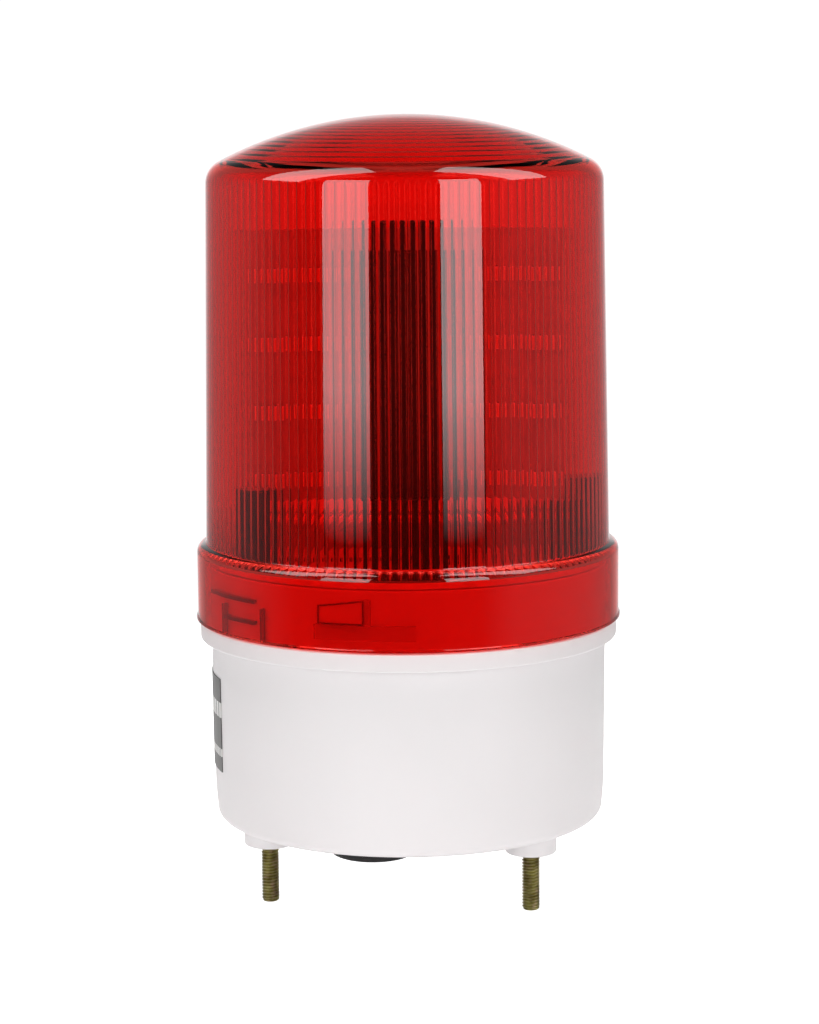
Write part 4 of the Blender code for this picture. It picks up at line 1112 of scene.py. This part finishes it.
class SIREN_OT_make_driver_board(bpy.types.Operator):
    """Make the parts that stand on the driver board"""

    bl_idname = "siren.make_driver_board"
    bl_label = "Make Driver Board"

    def execute(self, context):
        black = plain_moulding("black_pvc_sleeve", "#121214", "#1B1B1D", 0.6, 0.3)
        can = plated_metal("aluminium_can", "#C4C5C7", "#9FA0A3")
        for i in range(2):
            name = f"capacitor_{i + 1}"
            low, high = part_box(name)
            place = centre_of(name)
            radius, tall = 4.2 * MM, high.z - low.z
            rows = [(0.0, high.z - 0.25 * MM), (radius - 1.15 * MM, high.z - 0.25 * MM)]
            rows += [(radius - 1.05 * MM, high.z - 0.05 * MM)]
            rows += arc(radius - 0.6 * MM, high.z - 0.6 * MM, 0.6 * MM, -20.0, 90.0, 8)
            for share, pinch in ((0.22, 0.0), (0.195, 0.22), (0.175, 0.38), (0.155, 0.22), (0.13, 0.0)):
                rows.append((radius - pinch * MM, low.z + tall * share))
            rows += [(radius, low.z + 0.3 * MM), (radius - 0.3 * MM, low.z), (0.0, low.z)]
            bm = bmesh.new()
            faces = add_turned(bm, rows, 48, closed=False, place=(place.x, place.y))
            for face in faces:
                lid = face.calc_center_median()
                off_axis = math.hypot(lid.x - place.x, lid.y - place.y)
                if lid.z > high.z - 0.3 * MM and off_axis < radius - 1.0 * MM:
                    face.material_index = 1
            piece = from_bmesh(f"capacitor_sleeve_{i + 1}", bm, black, can)
            settle(piece, BASE_BODY, "black_plastic", name)

        potting = plain_moulding("grey_epoxy_potting", "#A9A6A0", "#BAB7B1", 1.0, 0.28)
        for i in range(2):
            name = f"choke_{i + 1}"
            low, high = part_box(name)
            place = centre_of(name)
            bearing = math.degrees(math.atan2(-place.x, -place.y))
            turn = Matrix.Rotation(facing(bearing) + math.pi / 2, 4, "Z")
            matrix = Matrix.Translation(place) @ turn
            bm = bmesh.new()
            add_block(bm, (13.0 * MM, 7.0 * MM, high.z - low.z), matrix, 0.7 * MM, 4)
            settle(from_bmesh(f"choke_block_{i + 1}", bm, potting), BASE_BODY, "grey_potting", name)

        low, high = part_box("supply_terminal")
        place = centre_of("supply_terminal")
        green = plain_moulding("green_moulded_nylon", "#1F6B3A", "#2A7A45", 0.5, 0.4)
        bm = bmesh.new()
        add_block(bm, (15.0 * MM, 8.0 * MM, high.z - low.z), Matrix.Translation(place), 0.5 * MM, 3)
        terminal = from_bmesh("terminal_block", bm, green)
        bm = bmesh.new()
        for side in (-0.5, 0.5):
            x = place.x + side * 5.0 * MM
            add_cylinder(bm, 1.6 * MM, low.z + 4.5 * MM, high.z + SINK, (x, place.y), 24)
            matrix = Matrix.Translation((x, high.y, low.z + 3.4 * MM))
            add_block(bm, (3.0 * MM, 5.0 * MM, 3.2 * MM), matrix)
        boolean(terminal, from_bmesh("terminal_ports", bm), "DIFFERENCE")
        smoothed(terminal.data)
        settle(terminal, BASE_BODY, "green_terminal", "supply_terminal")

        mesh = bpy.data.meshes.new("board_chips")
        chip_z = BOARD_TOP_Z + 0.25 * MM
        points = [on_bearing(radius * MM, bearing, chip_z) for radius, bearing in CHIPS]
        mesh.from_pydata(points, [], [])
        resin = plain_moulding("black_moulded_epoxy", "#1A1A1C", "#252528", 0.5, 0.45)
        values = {"Size": 1.7 * MM, "Seed": 4, "Material": resin}
        chips = grown(object_of("board_chips", mesh), chip_tree(), values)
        settle(chips, BASE_BODY, "driver_board")

        steel = plated_metal("bright_zinc_steel", "#B9BABD", "#97989B")
        board = circuit_board("white_masked_driver_board", "#D6D4CD", "#EAE8E2", 2.6)
        finish_node("driver_board", board)
        finish_node("lamp_lead", black)
        for screw in BOARD_SCREWS:
            finish_node(screw, steel)
        return {"FINISHED"}


# Small chips on the driver board, as (radius in millimetres, bearing)
CHIPS = (
    (18.0, 12.0), (21.0, 30.0), (27.0, 348.0), (31.0, 8.0), (24.0, 52.0), (29.0, 82.0), (20.0, 96.0),
    (26.0, 140.0), (18.5, 215.0), (24.5, 205.0), (30.0, 262.0), (22.0, 262.0), (27.0, 318.0), (19.0, 330.0),
)


# --- sounder, grommet and seal ---


class SIREN_OT_finish_base(bpy.types.Operator):
    """Finish the sounder, the cable grommet and the seal"""

    bl_idname = "siren.finish_base"
    bl_label = "Finish Base Parts"

    def execute(self, context):
        black, rubber = black_abs(), black_rubber()
        for name in ("sounder_body", "sounder_back"):
            finish_node(name, black)
        finish_node("cable_grommet", rubber)
        finish_node("lens_seal", white_rubber())
        finish_node("sounder_disc", plated_metal("rolled_brass", "#C9A862", "#A88A4A"))
        steel = plated_metal("bright_zinc_steel_small", "#B9BABD", "#97989B")
        for screw in SOUNDER_SCREWS:
            finish_node(screw, steel)
        return {"FINISHED"}


# --- stage ---

# Brightness of the studio against the cosine of the angle from straight behind the object
STUDIO_GLOW = (
    (0.0, 0.0), (0.12, 0.02), (0.25, 0.20), (0.50, 0.26), (0.90, 0.24), (0.95, 0.36),
    (0.978, 0.62), (0.986, 1.0),
)

SEEN_ROOM, SEEN_WALL = 0.45, 1.05  # through the lens
SOFT_ROOM = 0.27  # on dull surfaces


def studio_world(world):
    """A white glow behind the object that fades sideways and upwards. The camera itself sees white."""
    world.use_nodes = True
    tree = world.node_tree
    tree.nodes.clear()
    way = add_node(tree, "ShaderNodeTexCoord").outputs["Generated"]
    axes = add_node(tree, "ShaderNodeSeparateXYZ", {0: way}).outputs
    share = between(tree, axes["Y"], 0.0, 1.0, -1.0, 1.0)
    ramp = add_node(tree, "ShaderNodeValToRGB", {"Fac": share})
    elements = ramp.color_ramp.elements
    while len(elements) > 1:
        elements.remove(elements[-1])
    for i, (position, value) in enumerate(STUDIO_GLOW):
        element = elements[0] if i == 0 else elements.new(position)
        element.position = position
        element.color = (value, value, value, 1.0)
    roof = between(tree, axes["Z"], 1.0, 0.03, 0.1, 0.8)
    lit = mixed_colour(tree, roof, (0.0, 0.0, 0.0, 1.0), ramp.outputs["Color"])
    # The room is darker to the left of the camera
    front = between(tree, axes["Y"], 0.0, 1.0, -0.5, 0.2)
    side = between(tree, axes["X"], 0.06, 1.0, -0.6, 0.1)
    open_side = through(tree, front, ("MAXIMUM", side))
    lit = mixed_colour(tree, open_side, (0.0, 0.0, 0.0, 1.0), lit)
    # Gloss sees that pattern. Through the lens shows a soft room with a white wall behind
    wall = between(tree, share, SEEN_ROOM, SEEN_WALL, 0.93, 0.99)
    path = add_node(tree, "ShaderNodeLightPath").outputs
    lit = mixed_colour(tree, path["Is Transmission Ray"], lit, wall)
    lit = mixed_colour(tree, path["Is Diffuse Ray"], lit, (SOFT_ROOM, SOFT_ROOM, SOFT_ROOM, 1.0))
    tone = mixed_colour(tree, path["Is Camera Ray"], lit, (1.05, 1.05, 1.05, 1.0))
    glow = add_node(tree, "ShaderNodeBackground", {"Color": tone, "Strength": 1.0})
    add_node(tree, "ShaderNodeOutputWorld", {"Surface": glow.outputs[0]})


CAMERA_FOCUS = 2670.0 / 1024.0  # focal length over the sensor's width
CAMERA_DOWN, CAMERA_ROLL = 8.38, -0.5  # degrees
CAMERA_PLACE = (0.45 * MM, -595.85 * MM, 174.07 * MM)
FADE_LOW, FADE_TOP = -0.024, 0.058  # heights between which a tall softbox comes up to full brightness


def add_softbox(name, azimuth, low, high, width, distance, power):
    """A tall softbox that dims towards its foot. Azimuth is from the front towards +X, in degrees."""
    light = bpy.data.lights.new(name, "AREA")
    light.shape = "RECTANGLE"
    light.size, light.size_y = width, high - low
    light.energy = power
    light.use_nodes = True
    tree = light.node_tree
    shape = add_node(tree, "ShaderNodeNewGeometry").outputs["Position"]
    axes = add_node(tree, "ShaderNodeSeparateXYZ", {0: shape}).outputs
    fade = between(tree, axes["Z"], 0.0, 1.0, FADE_LOW, FADE_TOP)
    tree.links.new(fade, tree.nodes["Emission"].inputs["Strength"])
    obj = bpy.data.objects.new(name, light)
    bpy.context.scene.collection.objects.link(obj)
    turn = math.radians(azimuth)
    obj.location = (distance * math.sin(turn), -distance * math.cos(turn), (low + high) / 2)
    obj.rotation_euler = (math.pi / 2, 0.0, turn)
    obj.visible_camera = False


def add_roof(name, side, power):
    """A wide softbox over one side of the object, leaning over it."""
    light = bpy.data.lights.new(name, "AREA")
    light.shape = "RECTANGLE"
    light.size, light.size_y = 1.0, 0.5
    light.energy = power
    obj = bpy.data.objects.new(name, light)
    bpy.context.scene.collection.objects.link(obj)
    obj.location = (0.60 * side, -0.25, 0.82)
    aim = Vector((0.0, -0.25, 0.16)) - obj.location
    obj.rotation_euler = aim.to_track_quat("-Z", "Y").to_euler()
    obj.rotation_euler.rotate_axis("Z", math.pi / 2)
    obj.visible_camera = False
    obj.visible_diffuse = False  # it is there for the gloss on the shoulder


def add_ceiling(power):
    """A wide, soft light straight above, for the level faces inside the lens."""
    light = bpy.data.lights.new("ceiling", "AREA")
    light.size = 0.6
    light.energy = power
    obj = bpy.data.objects.new("ceiling", light)
    bpy.context.scene.collection.objects.link(obj)
    obj.location = (0.0, 0.0, 1.0)
    obj.visible_camera = obj.visible_glossy = obj.visible_transmission = False


class SIREN_OT_set_stage(bpy.types.Operator):
    """Set the floor, the lights and the camera"""

    bl_idname = "siren.set_stage"
    bl_label = "Set Stage"

    def execute(self, context):
        settings = context.scene.siren.stage
        scene = context.scene
        scene.view_settings.view_transform = "Standard"
        scene.render.film_transparent = False
        scene.cycles.max_bounces = 24
        scene.cycles.glossy_bounces = 16
        scene.cycles.transmission_bounces = 20
        bm = bmesh.new()
        add_cylinder(bm, 0.33, -6.0 * MM, -0.02 * MM, columns=128)
        paper = bpy.data.materials.new("white_paper_floor")
        paper.use_nodes = True
        tree = paper.node_tree
        shader = tree.nodes["Principled BSDF"]
        shader.inputs["Roughness"].default_value = 0.9
        shader.inputs["Specular IOR Level"].default_value = 0.1
        shader.inputs["Base Color"].default_value = tuple(settings.floor_colour)
        shader.inputs["Emission Color"].default_value = (1.0, 1.0, 1.0, 1.0)
        seen = add_node(tree, "ShaderNodeLightPath").outputs["Is Camera Ray"]
        # The camera sees the floor as white as the room, and the object gets less light from it
        strength = between(tree, seen, 0.25, 1.0, 0.0, 1.0)
        tree.links.new(strength, shader.inputs["Emission Strength"])
        floor = from_bmesh("studio_floor", bm, paper)

        world = bpy.data.worlds.new("studio")
        scene.world = world
        studio_world(world)
        add_softbox("left_softbox", -33.0, -0.06, 0.60, 0.42, 0.9, settings.key_power)
        add_softbox("right_softbox", 31.0, -0.06, 0.60, 0.37, 0.9, settings.key_power)
        add_roof("left_roof", -1.0, settings.roof_power)
        add_roof("right_roof", 1.0, settings.roof_power)
        add_ceiling(settings.ceiling_power)

        camera = bpy.data.cameras.new("camera")
        camera.sensor_width = 36.0
        camera.lens = CAMERA_FOCUS * camera.sensor_width
        camera.clip_start, camera.clip_end = 0.01, 50.0
        viewer = bpy.data.objects.new("camera", camera)
        scene.collection.objects.link(viewer)
        pitch, roll = math.radians(90.0 - CAMERA_DOWN), math.radians(CAMERA_ROLL)
        look = Matrix.Rotation(pitch, 4, "X") @ Matrix.Rotation(roll, 4, "Z")
        viewer.matrix_world = Matrix.Translation(CAMERA_PLACE) @ look
        scene.camera = viewer
        return {"FINISHED"}


# --- panel and registration ---


class SIREN_PT_panel(bpy.types.Panel):
    """Lists the siren's settings and what makes each part"""

    bl_idname = "SIREN_PT_panel"
    bl_label = "Alarm Siren"
    bl_space_type = "VIEW_3D"
    bl_region_type = "UI"
    bl_category = "Siren"

    def draw(self, context):
        siren = context.scene.siren
        for group in (siren.lens, siren.housing, siren.bolts, siren.lamps, siren.stage):
            box = self.layout.box()
            for name in group.__annotations__:
                box.prop(group, name)
        for operator in OPERATORS:
            self.layout.operator(operator.bl_idname)


GROUPS = (SirenLens, SirenHousing, SirenBolts, SirenLamps, SirenStage, Siren)
OPERATORS = (
    SIREN_OT_set_stage, SIREN_OT_make_lens, SIREN_OT_make_housing, SIREN_OT_make_label, SIREN_OT_make_bolts,
    SIREN_OT_make_lamp_tower, SIREN_OT_make_driver_board, SIREN_OT_finish_base,
)


def register():
    for item in (*GROUPS, *OPERATORS, SIREN_PT_panel):
        bpy.utils.register_class(item)
    bpy.types.Scene.siren = PointerProperty(type=Siren)


def unregister():
    del bpy.types.Scene.siren
    for item in reversed((*GROUPS, *OPERATORS, SIREN_PT_panel)):
        bpy.utils.unregister_class(item)


def main():
    register()
    for operator in OPERATORS:
        group, name = operator.bl_idname.split(".")
        getattr(getattr(bpy.ops, group), name)()


if __name__ == "__main__":
    main()
